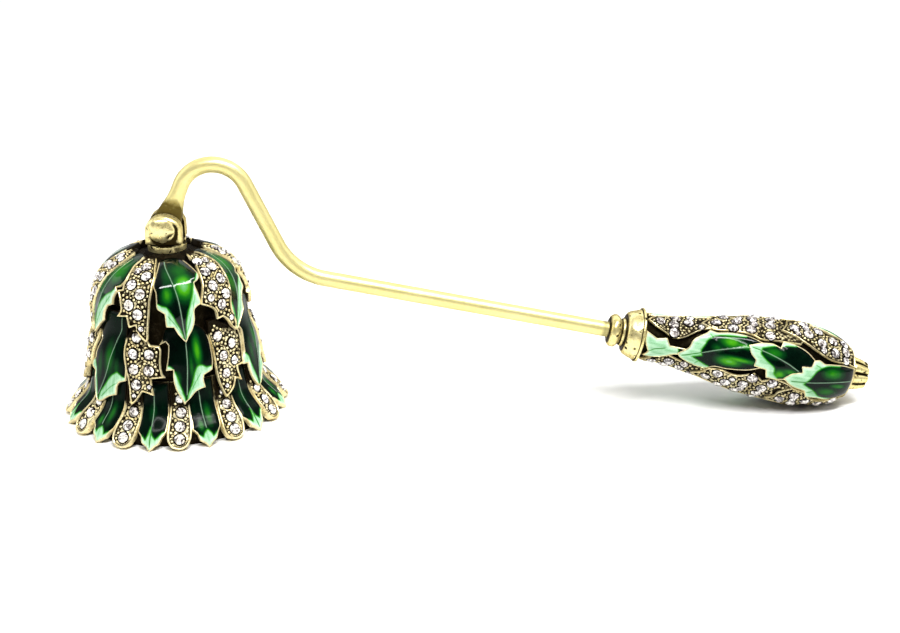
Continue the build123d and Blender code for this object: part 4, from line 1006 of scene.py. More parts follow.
S_LIFT = {-15: 0.35, 45: 0.1, 105: 0.35, 165: 0.1, 225: 0.35, 285: 0.1}
upper_metal, upper_glaze, upper_plates, upper_gems = Batch(), Batch(), Batch(), Batch()
enamel_leaf(bell, upper_metal, upper_glaze, copies(18, 138, 258), 18.0, U1, UPPER_OUT, 0.2, 1.1, U1_MINT, U1_PAINTED_GLOW,
            [U1_VEIN], U1_SIDE, dark=U1_PAINTED_SHADE, painted_shade_band=(4.6, 6.4))
enamel_leaf(bell, upper_metal, upper_glaze, copies(-42, 78, 198), -42.0, U2, UPPER_OUT, 0.0, 1.1, U2_MINT, U2_PAINTED_GLOW,
            [U2_VEIN], U2_SIDE, covers=[[(a - 120.0, v) for a, v in S2]], painted_shade_band=(3.0, 4.6))
stone_leaf(bell, upper_plates, upper_gems, copies(-15, 105, 225), -15.0, S1, S1_GEMS, UPPER_OUT, 0.3, 1.1, painted_shade_band=(3.6, 5.2))
# S2's stones are painted darker: painted shade.
stone_leaf(bell, upper_plates, upper_gems, copies(45, 165, 285), 45.0, S2, S2_GEMS, UPPER_OUT, 0.28, 1.1, painted_shade_band=(3.2, 4.8), painted_shade_dim=0.88)

middle_metal, middle_glaze, middle_plates, middle_gems = Batch(), Batch(), Batch(), Batch()
low_lift = lambda k: (lambda v: k * smooth(v, 23.5, 28.0))
enamel_leaf(bell, middle_metal, middle_glaze, copies(20, 140, 260), 20.0, M1, MIDDLE_OUT, low_lift(0.12), 1.1, M1_MINT,
            M1_PAINTED_GLOW, M1_VEIN, M1_SIDE, dark=M1_PAINTED_SHADE, painted_shade_band=(23.4, 25.6))
enamel_leaf(bell, middle_metal, middle_glaze, copies(-40, 80, 200), -40.0, M2, MIDDLE_OUT, low_lift(0.0), 1.1, M2_MINT,
            M2_PAINTED_GLOW, M2_VEIN, M2_SIDE, painted_shade_band=(23.4, 25.6))
stone_leaf(bell, middle_plates, middle_gems, copies(-11, 109, 229), -11.0, MS1, MS1_GEMS, MIDDLE_OUT, low_lift(0.3), 1.1, painted_shade_band=(23.4, 25.6))
# MS2's stones are painted darker: painted shade.
stone_leaf(bell, middle_plates, middle_gems, copies(49, 169, 289), 49.0, MS2, MS2_GEMS, MIDDLE_OUT, low_lift(0.28), 1.1, painted_shade_band=(23.4, 25.6),
           painted_shade_dim=0.86)

skirt_metal, skirt_glaze, skirt_plates, skirt_gems = Batch(), Batch(), Batch(), Batch()
# The skirt petals' brighter patches are painted light as well.
enamel_leaf(bell, skirt_metal, skirt_glaze, [-3.5 + 60 * k for k in range(6)], -3.5, K_ENAMEL, SKIRT_OUT, 0.0, 1.0,
            K_MINT_A, [(-4.0, 40.0, (1.2, 2.6), 0.24)], [[(-3.4, 35.0), (-3.6, 41.0), (-4.1, 47.6)]], (), rim=0.32, painted_shade_band=(37.6, 40.0), under=0.3)
enamel_leaf(bell, skirt_metal, skirt_glaze, [26.5 + 60 * k for k in range(6)], -3.5, K_ENAMEL, SKIRT_OUT, 0.0, 1.0,
            K_MINT_B, [(-1.0, 41.5, (1.0, 3.0), 0.38), (-6.5, 43.5, (0.8, 1.6), 0.42)],
            [[(-4.4, 35.0), (-4.2, 40.0), (-4.1, 44.0)]], (), rim=0.32, painted_shade_band=(37.6, 40.0), under=0.3)
stone_leaf(bell, skirt_plates, skirt_gems, [11.5 + 30 * k for k in range(12)], 11.5, K_STONE, K_GEMS, SKIRT_OUT, 0.22,
           1.1, rim=0.5, high=0.2, bed=-0.2, most=12, painted_shade_band=(38.2, 40.6), under=0.3)

# ---------------------------------------------------------------- leaves of the handle
LEAF_C = [(39.2, -4.5), (40.8, 4.5), (43.1, 9.1), (42.6, 17.0), (44.9, 18.2), (45.4, 27.3), (46.7, 29.5), (48.1, 26.1),
          (49.9, 27.3), (53.0, 30.0), (56.4, 32.0), (56.4, -38.0), (51.3, -36.4), (49.0, -31.8), (45.8, -29.5),
          (44.9, -18.2), (41.7, -13.6)]
LEAF_B = [(30.1, 34.1), (32.6, 39.8), (35.4, 42.0), (37.4, 37.5), (37.9, 47.7), (39.9, 46.6), (42.6, 40.9), (44.5, 34.0),
          (47.5, 18.2), (45.0, -4.0), (41.5, -9.0), (39.5, -6.8), (37.6, -9.1), (35.4, -9.1), (34.9, 2.3), (32.0, 4.5),
          (32.2, 13.6), (30.8, 22.7)]
LEAF_A = [(15.1, -4.5), (17.2, 12.5), (17.9, 29.5), (19.0, 38.6), (20.8, 48.9), (21.5, 56.0), (23.1, 51.0), (26.3, 52.3),
          (29.9, 48.9), (33.4, 41.0), (35.0, 22.0), (34.5, 6.0), (31.6, -3.0), (28.8, -8.0), (26.3, -11.4), (23.8, -13.6),
          (21.7, -23.9), (18.5, -22.7), (15.8, -13.6)]
LEAF_D = [(7.3, 34.0), (9.9, 20.0), (12.2, 25.0), (13.1, 8.0), (17.5, 8.0), (18.5, -8.0), (14.9, -10.0), (12.6, -22.7),
          (9.9, -34.0), (7.7, -34.0), (8.5, -18.0), (7.3, 9.0)]
PLATE_3 = [(37.6, 66.0), (40.6, 58.0), (42.6, 51.0), (46.3, 39.8), (50.4, 32.0), (56.4, 31.0), (56.4, 82.0),
           (50.0, 81.5), (47.5, 85.0), (45.0, 101.0), (42.0, 104.0), (39.5, 92.0), (39.0, 80.0)]
PLATE_2 = [(19.5, 70.0), (22.6, 56.0), (26.0, 55.0), (30.5, 51.5), (33.0, 45.0), (36.5, 46.0), (42.0, 46.0), (44.5, 70.0),
           (44.0, 96.0), (41.0, 108.0), (37.4, 113.0), (35.0, 104.0), (32.8, 114.0), (29.0, 103.0), (25.5, 105.0), (22.6, 100.0), (21.6, 88.0)]
PLATE_1 = [(7.3, 66.0), (9.4, 48.0), (11.6, 36.0), (13.6, 26.0), (16.0, 32.0), (20.0, 54.0), (24.0, 60.0),
           (24.5, 90.0), (19.5, 102.0), (16.5, 98.0), (13.0, 106.0), (10.5, 92.0)]
GEMS_1 = [(10.4, 68.0, 0.9), (13.6, 40.0), (14.0, 84.0), (13.4, 61.0), (16.8, 70.0), (17.4, 90.0, 0.8), (10.6, 88.0, 0.6), (19.6, 60.0, 0.6)]
GEMS_2 = [(25.1, 94.0), (31.3, 88.0), (32.7, 104.0), (37.4, 103.0), (23.0, 75.0), (26.6, 62.5), (30.6, 61.5), (27.6, 79.0),
          (35.2, 74.0), (35.0, 53.6), (35.6, 89.0), (39.6, 90.0), (31.4, 73.5, 0.8), (28.6, 92.0, 0.6)]
GEMS_3 = [(40.8, 74.0), (44.0, 66.0), (43.4, 89.0), (46.6, 78.0), (47.2, 56.0), (50.2, 67.0), (50.6, 46.0),
          (53.6, 56.0), (53.4, 74.0), (47.6, 45.6, 0.7), (53.6, 39.0, 0.8), (43.6, 78.0, 0.7), (41.4, 64.0, 0.6)]
A_MINT = [[(13.0, -26.0), (22.4, -26.0), (22.6, -17.0), (20.2, -10.0), (18.2, -4.0), (20.4, 3.0), (20.0, 12.0),
           (20.6, 24.0), (21.4, 36.0), (24.0, 46.0), (29.5, 46.5), (30.0, 56.0), (20.0, 60.0), (14.0, 20.0)]]
A_PAINTED_GLOW = [(26.3, 35.0, (1.7, 2.8), 0.56), (26.5, 3.0, (1.3, 3.2), 0.60), (29.5, 31.0, (0.8, 4.2), 0.50), (28.5, 9.0, (0.7, 4.4), 0.56),
            (23.5, 22.0, (1.2, 1.6), 0.3)]
A_VEIN = [(16.3, -6.8), (19.9, 6.8), (24.5, 20.5), (29.0, 28.4), (32.5, 34.0)]
B_MINT = [[(28.0, 36.0), (33.0, 43.0), (38.0, 50.0), (42.5, 45.0), (40.0, 42.0), (36.0, 38.4), (33.2, 33.0),
           (33.0, 24.0), (34.6, 16.0), (36.6, 8.0), (36.8, -1.0), (39.0, -11.0), (34.0, -12.0), (30.0, 3.0), (29.0, 20.0)]]
B_PAINTED_GLOW = [(38.2, 0.0, (1.3, 1.8), 0.56), (40.5, 6.0, (0.8, 2.6), 0.46), (36.0, 28.0, (1.5, 2.8), 0.42)]
B_VEIN = [(31.0, 32.0), (35.0, 26.0), (39.0, 18.0), (42.0, 10.0)]
C_MINT = [[(37.0, -6.0), (44.0, -20.0), (46.0, -32.0), (50.0, -38.0), (52.0, -33.0), (49.0, -27.0), (47.0, -16.0),
           (44.0, -7.0), (45.4, 4.0), (46.4, 14.0), (48.6, 23.0), (52.0, 27.0), (50.0, 32.0), (44.0, 32.0), (40.0, 16.0)]]
C_PAINTED_GLOW = [(50.5, 13.0, (1.5, 3.0), 0.46), (50.0, -16.0, (1.3, 3.0), 0.40), (52.5, -6.0, (0.7, 2.4), 0.42)]
C_VEIN = [(41.3, -5.7), (46.3, -2.3), (51.3, 1.1), (55.5, 3.4)]
D_MINT = [[(5.0, 42.0), (12.0, 30.0), (15.0, 4.0), (15.0, -20.0), (11.0, -40.0), (5.0, -40.0)]]
D_VEIN = [(8.0, -26.0), (9.6, -8.0), (12.0, 0.0)]

NONE_OUT = const(0.0)
grip_metal, grip_glaze, grip_plates, grip_gems = Batch(), Batch(), Batch(), Batch()
rows = copies(8, 128, 248)
enamel_leaf(grip, grip_metal, grip_glaze, rows, 8.0, LEAF_C, NONE_OUT, 0.0, 1.08, C_MINT, C_PAINTED_GLOW, [C_VEIN],
            [[(45.6, -20.0), (49.0, -10.0), (53.0, -2.0)], [(46.0, 22.0), (50.0, 12.0), (54.0, 6.0)]], rim=0.34)
enamel_leaf(grip, grip_metal, grip_glaze, rows, 8.0, LEAF_B, NONE_OUT, -0.08, 1.0, B_MINT, B_PAINTED_GLOW, [B_VEIN],
            [[(39.0, 40.0), (38.6, 28.0), (39.6, 18.0)]], rim=0.34, covers=[LEAF_C])
enamel_leaf(grip, grip_metal, grip_glaze, rows, 8.0, LEAF_A, NONE_OUT, -0.12, 0.96, A_MINT, A_PAINTED_GLOW, [A_VEIN],
            [[(19.4, -18.0), (20.4, -6.0), (22.6, 8.0)], [(21.6, 46.0), (22.8, 34.0), (24.6, 22.0)]], rim=0.34,
            covers=[LEAF_B])
enamel_leaf(grip, grip_metal, grip_glaze, rows, 8.0, LEAF_D, NONE_OUT, -0.2, 0.88, D_MINT, (), [D_VEIN], (), rim=0.36,
            covers=[LEAF_A])
side_rows = copies(72, 192, 312)
above = lambda p: p[2] > 1.3


def beside(outline):
    """The enamelled leaf of this row and the one beyond the plate."""
    return [[(s, t) for s, t in outline], [(s, t + 120) for s, t in outline]]


leaves_over = beside(LEAF_A) + beside(LEAF_B) + beside(LEAF_C) + beside(LEAF_D)
# The handle's stones are painted darker: painted shade.
stone_leaf(grip, grip_plates, grip_gems, side_rows, 72.0, PLATE_3, GEMS_3, NONE_OUT, -0.05, 1.0, rim=0.36,
           covers=leaves_over, clip=above, painted_shade_dim=0.66)
stone_leaf(grip, grip_plates, grip_gems, side_rows, 72.0, PLATE_2, GEMS_2, NONE_OUT, -0.1, 0.95, rim=0.36,
           covers=leaves_over + [PLATE_3], clip=above, painted_shade_dim=0.66)
stone_leaf(grip, grip_plates, grip_gems, side_rows, 72.0, PLATE_1, GEMS_1, NONE_OUT, -0.15, 0.9, rim=0.36,
           covers=leaves_over + [PLATE_2], clip=above, painted_shade_dim=0.66)


def place(batch, name, mat, body, nodes, angle=40.0, smooth_all=True, lowest=0.0):
    obj = batch.build(name, [mat], angle, smooth_all, lowest)
    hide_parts(*nodes)
    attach(obj, body)
    return obj


place(upper_metal, "upper_enamel_leaves", leaf_gold, "bell", ["upper_leaf_frames"], 50)
place(upper_glaze, "upper_enamel", top_enamel, "bell", ["upper_leaf_enamel"], 60)
place(upper_plates, "upper_stone_plates", plate_gold, "bell", ["upper_stone_leaves"], 50)
place(upper_gems, "upper_set_stones", stone_mat, "bell", ["upper_stones"], 0, False)
place(middle_metal, "middle_enamel_leaves", leaf_gold, "bell", ["middle_leaf_frames"], 50)
place(middle_glaze, "middle_enamel", low_enamel, "bell", ["middle_leaf_enamel"], 60)
place(middle_plates, "middle_stone_plates", plate_gold, "bell", ["middle_stone_leaves"], 50)
place(middle_gems, "middle_set_stones", stone_mat, "bell", ["middle_stones"], 0, False)
place(skirt_metal, "skirt_enamel_petals", leaf_gold, "bell", ["skirt_leaf_petals"], 50)
place(skirt_glaze, "skirt_enamel", low_enamel, "bell", ["skirt_petal_enamel"], 60)
place(skirt_plates, "skirt_stone_plates", plate_gold, "bell", ["skirt_stone_petals"], 50)
place(skirt_gems, "skirt_set_stones", stone_mat, "bell", ["skirt_stones"], 0, False)
place(grip_metal, "handle_enamel_leaves", leaf_gold, "wand", ["handle_leaf_frames"], 50)
place(grip_glaze, "handle_enamel", grip_enamel, "wand", ["handle_leaf_enamel"], 60)
place(grip_plates, "handle_stone_plates", shaded_grip_gold, "wand", ["handle_stone_leaves"], 50)
place(grip_gems, "handle_set_stones", stone_mat, "wand", ["handle_stones"], 0, False)

# ---------------------------------------------------------------- fittings
X, Y, Z = np.eye(3)


def lathe(batch, profile, seg, origin, axis, e1, e2, wobble=None, cav=None, closed=True):
    """Turned shape from a closed (or pole to pole) profile of (along, radius)."""
    pr = np.asarray(profile, float)
    th = 2 * math.pi * np.arange(seg) / seg
    rad = np.repeat(pr[:, 1:2], seg, 1)
    alo = np.repeat(pr[:, :1], seg, 1)
    if wobble is not None:
        rad, alo = wobble(rad, alo, th[None, :])
    cs, sn = np.cos(th), np.sin(th)
    v = (np.asarray(origin)[None, None] + np.asarray(axis)[None, None] * alo[..., None]
         + e1[None, None] * (rad * cs)[..., None] + e2[None, None] * (rad * sn)[..., None])
    n = len(pr)
    cv = np.zeros((n, seg)) if cav is None else np.broadcast_to(cav(alo, rad, th[None, :]), (n, seg))
    if closed:
        rows_a, rows_b = np.arange(n), (np.arange(n) + 1) % n
    else:
        rows_a, rows_b = np.arange(n - 1), np.arange(1, n)
    k = np.arange(seg)
    k1 = (k + 1) % seg
    f = np.concatenate([np.c_[a * seg + k, a * seg + k1, b * seg + k1, b * seg + k] for a, b in zip(rows_a, rows_b)])
    v = v.reshape(-1, 3)
    cv = cv.reshape(-1)
    faces = [f]
    if not closed:
        first, last = list(range(seg))[::-1], list(range((n - 1) * seg, n * seg))
        faces += [np.array(first), np.array(last)]
    # Outward faces.
    total = 0.0
    for q in f[:: max(len(f) // 400, 1)]:
        a, b, c, d = v[q]
        total += np.dot(np.cross(c - a, d - b), (a + b + c + d) / 4 - np.asarray(origin))
    vol = 0.0
    for q in f:
        a, b, c, d = v[q] - np.asarray(origin)
        vol += np.dot(a, np.cross(b, c)) + np.dot(a, np.cross(c, d))
    if vol < 0:
        faces = [q[..., ::-1] for q in faces]
    batch.add(v, faces, 0, cav=cv)


def dense(points, step=0.12, smooth_all=True):
    return open_curve(points, step)


# Collar: a bead, a fine ring in the groove, then a flared cup with a lip.
bead = dense([(-0.62, 1.82), (-0.60, 2.35), (-0.3, 3.2), (0.2, 3.66), (0.8, 3.8), (1.4, 3.62), (1.85, 3.2), (2.2, 2.85)])
ring2 = dense([(2.28, 2.86), (2.42, 3.12), (2.72, 3.26), (3.0, 3.2), (3.12, 3.1)])
cup_line = dense([(3.16, 3.3), (3.2, 4.0), (3.42, 4.6), (4.0, 5.05), (4.9, 5.42), (5.7, 5.7), (6.15, 5.86), (6.3, 5.88)])
lip = dense([(6.36, 5.9), (6.42, 6.16), (6.62, 6.3), (6.86, 6.28), (7.0, 6.1), (7.0, 5.7), (6.8, 5.45)])
back = [(6.8, 3.66), (4.0, 3.64), (4.0, 1.82)]
collar_profile = np.vstack([bead, ring2, cup_line, lip, np.array(back)])


def collar_cav(s, r, th):
    c = 0.95 * np.exp(-((s - 2.26) / 0.2) ** 2) + 0.9 * np.exp(-((s - 3.16) / 0.16) ** 2) + 0.8 * np.exp(-((s - 6.33) / 0.12) ** 2)
    c = c + 0.75 * np.exp(-((s + 0.55) / 0.3) ** 2)
    c = np.where((r < 3.7) & (s > 3.9), 0.9, c)
    return np.clip(c + 0.08 * np.sin(5 * th + s * 2.0), 0, 1)


def dented(rad, alo, th):
    wave = 0.03 * np.sin(7 * th + 1.3) * np.sin(alo * 2.1) + 0.02 * np.sin(13 * th + alo * 3.0) + 0.025 * np.sin(3 * th + 0.4)
    return rad + wave * (rad > 2.2), alo


collar_batch = Batch()
lathe(collar_batch, collar_profile, 96, H0, HD, HE1, HE2, dented, collar_cav)

# End finial: an eight-fluted cone with a dished end.
fin = np.vstack([dense([(54.0, 1.45), (56.76, 1.45)], 0.6), dense([(56.8, 1.6), (56.82, 3.9), (56.95, 4.15), (57.25, 4.2)], 0.15),
                 dense([(57.4, 3.95), (57.8, 4.02), (58.6, 3.9), (59.6, 3.62), (60.4, 3.36), (60.9, 3.18), (61.15, 2.95), (61.25, 2.5)], 0.15),
                 dense([(61.15, 1.8), (60.95, 1.0), (60.9, 0.3)], 0.15)])


def fluted(rad, alo, th):
    wave = np.abs(np.cos(4 * th)) ** 0.55
    deep = smooth(alo, 57.2, 57.9)
    return rad * (1 - 0.27 * deep * (1 - wave)), alo


def fluted_cav(s, r, th):
    groove = (1 - np.abs(np.cos(4 * th)) ** 0.55)
    c = smooth(groove, 0.16, 0.6) * smooth(s, 57.3, 57.9) * 0.95
    return np.clip(np.maximum(c, 0.8 * np.exp(-((s - 57.35) / 0.12) ** 2)) + 0.5 * (r < 1.2) * (s > 60), 0, 1)


finial_batch = Batch()
lathe(finial_batch, fin, 128, H0, HD, HE1, HE2, fluted, fluted_cav, closed=False)

# Rivet: a hammered head in front, a plainer one behind, one shank through ears and eye.
head = dense([(-5.46, 0.3), (-5.44, 1.0), (-5.32, 1.7), (-5.05, 2.25), (-4.75, 2.62), (-4.42, 2.78)], 0.15)
shank = dense([(-4.4, 1.18), (4.4, 1.18)], 0.8)
tail = dense([(4.42, 2.6), (4.75, 2.45), (5.1, 2.0), (5.35, 1.4), (5.45, 0.3)], 0.15)
pin_profile = np.vstack([head, [(-4.41, 2.0)], shank, [(4.41, 2.0)], tail])


def hammered(rad, alo, th):
    out = smooth(np.abs(alo), 4.35, 4.5)
    petal = 0.15 * np.cos(th - 2.5) + 0.05 * np.sin(3 * th + 0.9) + 0.055 * np.sin(5 * th + 2.2)
    front = (alo < 0)
    rad = rad * (1 + out * petal * np.where(front, 1.0, 0.5) * smooth(rad, 0.3, 2.2))
    alo = alo + np.where(front, 1, -1) * out * 0.16 * (0.5 - 0.5 * np.cos(th - 2.5)) * smooth(rad, 0.4, 1.6) * smooth(2.9 - rad, 0.0, 0.8)
    return rad, alo


def hammered_cav(a, r, th):
    c = 0.3 * smooth(r, 2.75, 3.2) + 0.75 * np.exp(-((th - 5.6) / 0.5) ** 2) * smooth(r, 0.9, 1.9)
    return np.clip(np.where(np.abs(a) < 4.42, 0.8, c), 0, 1)


pin_batch = Batch()
lathe(pin_batch, pin_profile, 96, np.array([0, 0, PIN_Z]), Y, X, Z, hammered, hammered_cav, closed=False)

# Wand: a round rod bent over the bell, beaten flat and wide at its eye.
TD = np.array([math.cos(math.radians(67.2)), 0.0, math.sin(math.radians(67.2))])
PIN = np.array([0.0, 0.0, PIN_Z])


def filleted(points, radii, step=0.5):
    """Points along straight runs joined by tangent arcs, in the XZ plane."""
    out = [np.array(points[0], float)]
    for i in range(1, len(points) - 1):
        a, b, c = (np.array(points[i + k], float) for k in (-1, 0, 1))
        u, w = (b - a) / np.linalg.norm(b - a), (c - b) / np.linalg.norm(c - b)
        turn = math.acos(np.clip(np.dot(u, w), -1, 1))
        cut = radii[i - 1] * math.tan(turn / 2)
        p0, p1 = b - u * cut, b + w * cut
        side = w - u * np.dot(u, w)
        side /= np.linalg.norm(side)
        mid = p0 + side * radii[i - 1]
        start = out[-1]
        m = max(int(np.linalg.norm(p0 - start) / step), 1)
        out += [start + (p0 - start) * k / m for k in range(1, m + 1)]
        m = max(int(turn * radii[i - 1] / step), 4)
        for k in range(1, m + 1):
            t = turn * k / m
            out.append(mid - side * radii[i - 1] * math.cos(t) + u * radii[i - 1] * math.sin(t))
    start, end = out[-1], np.array(points[-1], float)
    m = max(int(np.linalg.norm(end - start) / (step * 2)), 1)
    out += [start + (end - start) * k / m for k in range(1, m + 1)]
    return np.array(out)


ROD_STOP = H0 + HD * 12.0
spine = [PIN + TD * 0.0]
route = filleted([PIN + TD * 5.0, (10.55, 0, 68.64), (27.61, 0, 32.34), ROD_STOP], [7.7, 14.5], 0.45)
tang_t = np.concatenate([-3.04 * np.cos(np.linspace(0.12, math.pi / 2, 12)), np.arange(0.3, 5.0, 0.3)])
path_pts = np.vstack([PIN + TD * tang_t[:, None], route])
dist = np.concatenate([tang_t, 5.0 + np.concatenate([[0], np.cumsum(np.linalg.norm(np.diff(route, axis=0), axis=1))])])
tangent = np.gradient(path_pts, dist, axis=0)
tangent /= np.linalg.norm(tangent, axis=1)[:, None]
phi = 2 * math.pi * np.arange(44) / 44
rod = Batch()
vv, cc = [], []
for p, t, s in zip(path_pts, tangent, dist):
    across = np.array([t[2], 0, -t[0]])
    half = 1.78 + 1.28 * (1 - smooth(s, 0.6, 8.6))
    if s < 0:
        half = math.sqrt(max(3.06 ** 2 - s * s, 0.04))
    flat = 1.0 + 0.36 * max(s - 5.0, 0.0)
    c, w = np.cos(phi), np.sin(phi)
    power = 1.0 - 0.35 * (1 - smooth(s, 5.0, 9.5))
    y = np.sign(w) * np.abs(w) ** power * 1.78
    over_flat = np.abs(y) > flat
    y = np.where(over_flat, np.sign(y) * flat, y)
    x = c * half * (1 + 0.004 * math.sin(s * 1.7))
    v = p + across[None] * x[:, None] - Y[None] * y[:, None]
    vv.append(v)
    # Darker on the beaten-flat eye end and its flat faces: painted shade and painted dark reflection over patina.
    # Darker also in a band just before the collar.
    worn = 1.05 * (1 - smooth(s, 2.8, 8.4)) + 0.34 * over_flat * (1 - smooth(s, 5.6, 9.4))
    worn = worn + 0.72 * math.exp(-((s - dist[-1] + 13.2) / 0.75) ** 2) + 0.08 * math.exp(-((s - 9.5) / 2.5) ** 2)
    # A painted shaded line along the rod's upper and lower edges.
    cc.append(np.clip(np.full(44, worn) + 0.1 * (np.abs(np.sin(phi)) < 0.2), 0, 1))
n = len(vv)
f = []
k = np.arange(44)
k1 = (k + 1) % 44
for i in range(n - 1):
    f.append(np.c_[i * 44 + k, (i + 1) * 44 + k, (i + 1) * 44 + k1, i * 44 + k1])
V = np.vstack(vv)
f = np.concatenate(f)
a, b, c, d = (V[f[:, i]] for i in range(4))
mid = (a + b + c + d) / 4
if np.sum(np.einsum("ij,ij->i", np.cross(c - a, d - b), mid - np.repeat(path_pts[:-1], 44, 0))) < 0:
    f = f[:, ::-1]
    ends = [np.arange(44), np.arange((n - 1) * 44, n * 44)[::-1]]
else:
    ends = [np.arange(44)[::-1], np.arange((n - 1) * 44, n * 44)]
rod.add(V, [f] + ends, 0, cav=np.concatenate(cc))
wand_obj = rod.build("wand", [rod_gold], 40)


def bake(obj):
    """The object's modifiers written into its mesh."""
    dg = bpy.context.evaluated_depsgraph_get()
    mesh = bpy.data.meshes.new_from_object(obj.evaluated_get(dg), preserve_all_data_layers=True, depsgraph=dg)
    old = obj.data
    obj.modifiers.clear()
    obj.data = mesh
    bpy.data.meshes.remove(old)
    return obj


def cylinder(name, radius, y0, y1, seg=64):
    b = Batch()
    th = 2 * math.pi * np.arange(seg) / seg
    ring = np.c_[radius * np.cos(th), np.zeros(seg), PIN_Z + radius * np.sin(th)]
    v = np.vstack([ring + [0, y0, 0], ring + [0, y1, 0]])
    k = np.arange(seg)
    k1 = (k + 1) % seg
    b.add(v, [np.c_[k, k1, k1 + seg, k + seg], k[::-1].copy(), k + seg], 0, cav=np.full(2 * seg, 0.8))
    return b.build(name, [rod_gold], 40)


drill = cylinder("eye_drill", 1.25, -4.0, 4.0)
cut = wand_obj.modifiers.new("eye", "BOOLEAN")
cut.operation = "DIFFERENCE"
cut.solver = "EXACT"
cut.object = drill
bpy.context.view_layer.update()
bake(wand_obj)
bpy.data.objects.remove(drill)
wand_obj.data.polygons.foreach_set("use_smooth", np.full(len(wand_obj.data.polygons), True))
wand_obj.data.set_sharp_from_angle(angle=math.radians(35))


def recast(node_name, name, mat, voxel, passes, cast, cav, shape=None):
    """A CAD piece remeshed with worn, rounded edges, then moved a little like a hand-finished casting."""
    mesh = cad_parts[node_name].data.copy()
    mesh.materials.clear()
    mesh.materials.append(mat)
    obj = bpy.data.objects.new(name, mesh)
    bpy.context.scene.collection.objects.link(obj)
    r = obj.modifiers.new("skin", "REMESH")
    r.mode = "VOXEL"
    r.voxel_size = voxel * MM
    r.use_smooth_shade = True
    s = obj.modifiers.new("worn", "SMOOTH")
    s.factor = 0.5
    s.iterations = passes
    bpy.context.view_layer.update()
    bake(obj)
    me = obj.data
    co = np.zeros(len(me.vertices) * 3, np.float32)
    no = np.zeros(len(me.vertices) * 3, np.float32)
    me.vertices.foreach_get("co", co)
    me.vertex_normals.foreach_get("vector", no)
    p, nn = co.reshape(-1, 3) / MM, no.reshape(-1, 3)
    p = p + nn * cast(p, nn)[:, None]
    if shape is not None:
        p = shape(p)
    me.vertices.foreach_set("co", (p * MM).astype(np.float32).ravel())
    me.attributes.new("cav", "FLOAT", "POINT").data.foreach_set("value", cav(p, nn).astype(np.float32))
    me.materials.clear()
    me.materials.append(mat)
    me.polygons.foreach_set("material_index", np.zeros(len(me.polygons), np.int32))
    me.update()
    return obj


def lumps(p, scale, seed):
    """Soft repeatable waves over space, from a few seeded sines."""
    g = np.random.default_rng(seed)
    out = np.zeros(len(p))
    for _ in range(7):
        d = g.normal(size=3)
        d /= np.linalg.norm(d)
        out += np.sin(p @ d * scale * g.uniform(0.6, 1.8) + g.uniform(0, 6.28))
    return out / 7


def clevis_cast(p, n):
    ears = smooth(p[:, 2], 40.0, 42.0)
    return 0.10 * ears * lumps(p, 1.5, 3) + 0.05 * lumps(p, 3.6, 4) - 0.02


def small_foot(p):
    """The fork's foot drawn in under the ears, and the ears' tops worn lower."""
    r = np.hypot(p[:, 0], p[:, 1])
    k = smooth(40.5 - p[:, 2], 0.0, 0.6) * 0.62 * np.maximum(r - 3.7, 0) / np.maximum(r, 1e-6)
    z = np.where(p[:, 2] > PIN_Z, PIN_Z + (p[:, 2] - PIN_Z) * 0.80, p[:, 2])
    return np.c_[p[:, 0] * (1 - k), p[:, 1] * (1 - k), z]


def clevis_hollow_and_shade(p, n):
    r = np.hypot(p[:, 0], p[:, 2] - PIN_Z)
    face = np.abs(p[:, 1]) > 3.9
    c = face * np.clip(0.35 + 0.6 * np.cos(np.arctan2(p[:, 2] - PIN_Z, p[:, 0]) + 0.8), 0, 1) * np.exp(-((r - 3.05) / 0.4) ** 2)
    c = np.maximum(c, 0.95 * (np.abs(p[:, 1]) < 1.35) * (p[:, 2] > 39.5))
    c = np.maximum(c, 0.6 * np.exp(-((p[:, 2] - 39.95) / 0.3) ** 2))
    # Painted shadow in the gap under the fork's foot.
    c = np.maximum(c, 0.9 * (p[:, 2] < 38.2))
    c = c + 0.25 * lumps(p, 2.6, 9)
    c = c + (0.17 + 0.35 * smooth(42.6 - p[:, 2], 0.0, 2.0)) * face * (p[:, 2] > 39.6)
    return np.clip(c, 0, 1)


clevis_obj = recast("clevis", "hinge_clevis", fitting_gold, 0.13, 7, clevis_cast, clevis_hollow_and_shade, small_foot)

for obj, nodes, slot_name, body in (
        (wand_obj, ["wand_rod"], "rod_brass", "wand"), (clevis_obj, ["clevis"], "fitting_brass", "bell"),
        (collar_batch.build("handle_collar", [fitting_gold], 38), ["collar"], "fitting_brass", "wand"),
        (finial_batch.build("handle_finial", [fitting_gold], 38), ["end_finial"], "fitting_brass", "wand"),
        (pin_batch.build("hinge_rivet", [fitting_gold], 38), ["hinge_pin"], "fitting_brass", "bell")):
    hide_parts(*nodes)
    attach(obj, body)

# The bell's cup and the handle's core take the near-black gold: dark patina with painted shade.
for name, mat in (("bell_cup", patina_and_shade_gold), ("handle_core", patina_and_shade_gold), ("clevis_nut", steel_mat)):
    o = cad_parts[name]
    for sl in o.material_slots:
        sl.material = mat
    if not o.material_slots:
        o.data.materials.append(mat)

# ---------------------------------------------------------------- table, light and camera
floor_mat, nt, b = new_material("white_table")
grain = noise(nt, 6.0, 3, 0.5)
nt.links.new(ramp(nt, grain, [(0.3, (0.93, 0.93, 0.93)), (0.7, (0.955, 0.955, 0.95))]), b.inputs["Base Color"])
b.inputs["Roughness"].default_value = 0.75
b.inputs["Specular IOR Level"].default_value = 0.15
fm = bpy.data.meshes.new("table")
fm.from_pydata([(-2.4, -2.4, 0), (2.5, -2.4, 0), (2.5, 2.6, 0), (-2.4, 2.6, 0)], [], [(0, 1, 2, 3)])
fm.materials.append(floor_mat)
floor = bpy.data.objects.new("table", fm)
bpy.context.scene.collection.objects.link(floor)


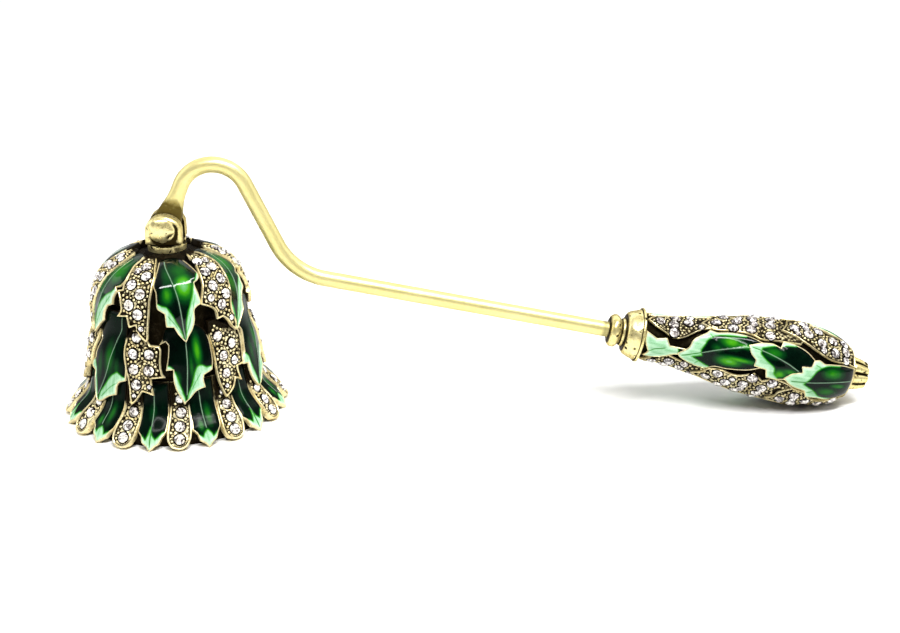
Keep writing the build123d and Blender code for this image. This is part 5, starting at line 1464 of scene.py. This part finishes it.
def area_light(name, at, aim, size, power, colour=(1, 1, 1), size_y=None, spin=0.0):
    data = bpy.data.lights.new(name, "AREA")
    data.shape = "RECTANGLE"
    data.size = size
    data.size_y = size_y or size
    data.energy = power
    data.color = colour
    o = bpy.data.objects.new(name, data)
    way = (Vector(aim) - Vector(at)).normalized()
    q = way.to_track_quat("-Z", "Y")
    o.rotation_euler = (q.to_matrix() @ Matrix.Rotation(spin, 3, "Z")).to_euler()
    o.location = at
    bpy.context.scene.collection.objects.link(o)
    return o


# A crossed pair of lamps over the front, one long soft box behind, and soft walls at the sides.
area_light("bar", (0.176, -0.302, 0.76), (0.0, 0.0, 0.03), 0.95, 8.6, size_y=0.062)
area_light("cross_bar", (0.17, -0.29, 0.75), (0.0, 0.0, 0.03), 0.036, 2.2, size_y=0.42)
area_light("back_box", (0.05, 0.9, 1.0), (0.06, 0.24, 0.0), 2.6, 7.4, size_y=0.6)
area_light("left_wall", (-1.0, 0.0, 0.5), (0.02, 0.0, 0.02), 0.55, 2.6, size_y=0.8)
area_light("right_wall", (1.15, 0.0, 0.5), (0.08, 0.0, 0.02), 0.55, 1.5, size_y=0.8)

world = bpy.data.worlds.new("studio")
bpy.context.scene.world = world
world.use_nodes = True
wn = world.node_tree
bg = wn.nodes["Background"]
tc = wn.nodes.new("ShaderNodeTexCoord")
sep = wn.nodes.new("ShaderNodeSeparateXYZ")
wn.links.new(tc.outputs["Generated"], sep.inputs[0])
front = math_node(wn, "MULTIPLY", sep.outputs["Y"], -1.0)
near_dark = ramp(wn, front, [(0.0, (1.0, 1.0, 1.0)), (0.25, (0.75, 0.75, 0.74)), (0.6, (0.10, 0.10, 0.095)), (1.0, (0.03, 0.03, 0.03))])
wn.links.new(near_dark, bg.inputs["Color"])
bg.inputs["Strength"].default_value = 0.50

cam_data = bpy.data.cameras.new("camera")
cam_data.sensor_width = 36.0
cam_data.lens = 55.566
cam_data.clip_start = 0.01
cam = bpy.data.objects.new("camera", cam_data)
pitch, roll = math.radians(21.09), 0.00408
fwd = np.array([0.0209 * math.cos(pitch), 0.9998 * math.cos(pitch), -math.sin(pitch)])
right = np.array([0.9998, -0.0209, 0.0])
up = np.cross(right, fwd)
r2 = math.cos(roll) * right + math.sin(roll) * up
u2 = math.cos(roll) * up - math.sin(roll) * right
cam.matrix_world = Matrix(((r2[0], u2[0], -fwd[0], 0.056977), (r2[1], u2[1], -fwd[1], -0.296058),
                           (r2[2], u2[2], -fwd[2], 0.13582), (0, 0, 0, 1)))
bpy.context.scene.collection.objects.link(cam)
bpy.context.scene.camera = cam

scene = bpy.context.scene
scene.view_settings.view_transform = "Standard"
scene.view_settings.look = "None"
scene.view_settings.exposure = 0.0
scene.view_settings.gamma = 1.0

bpy.context.view_layer.update()
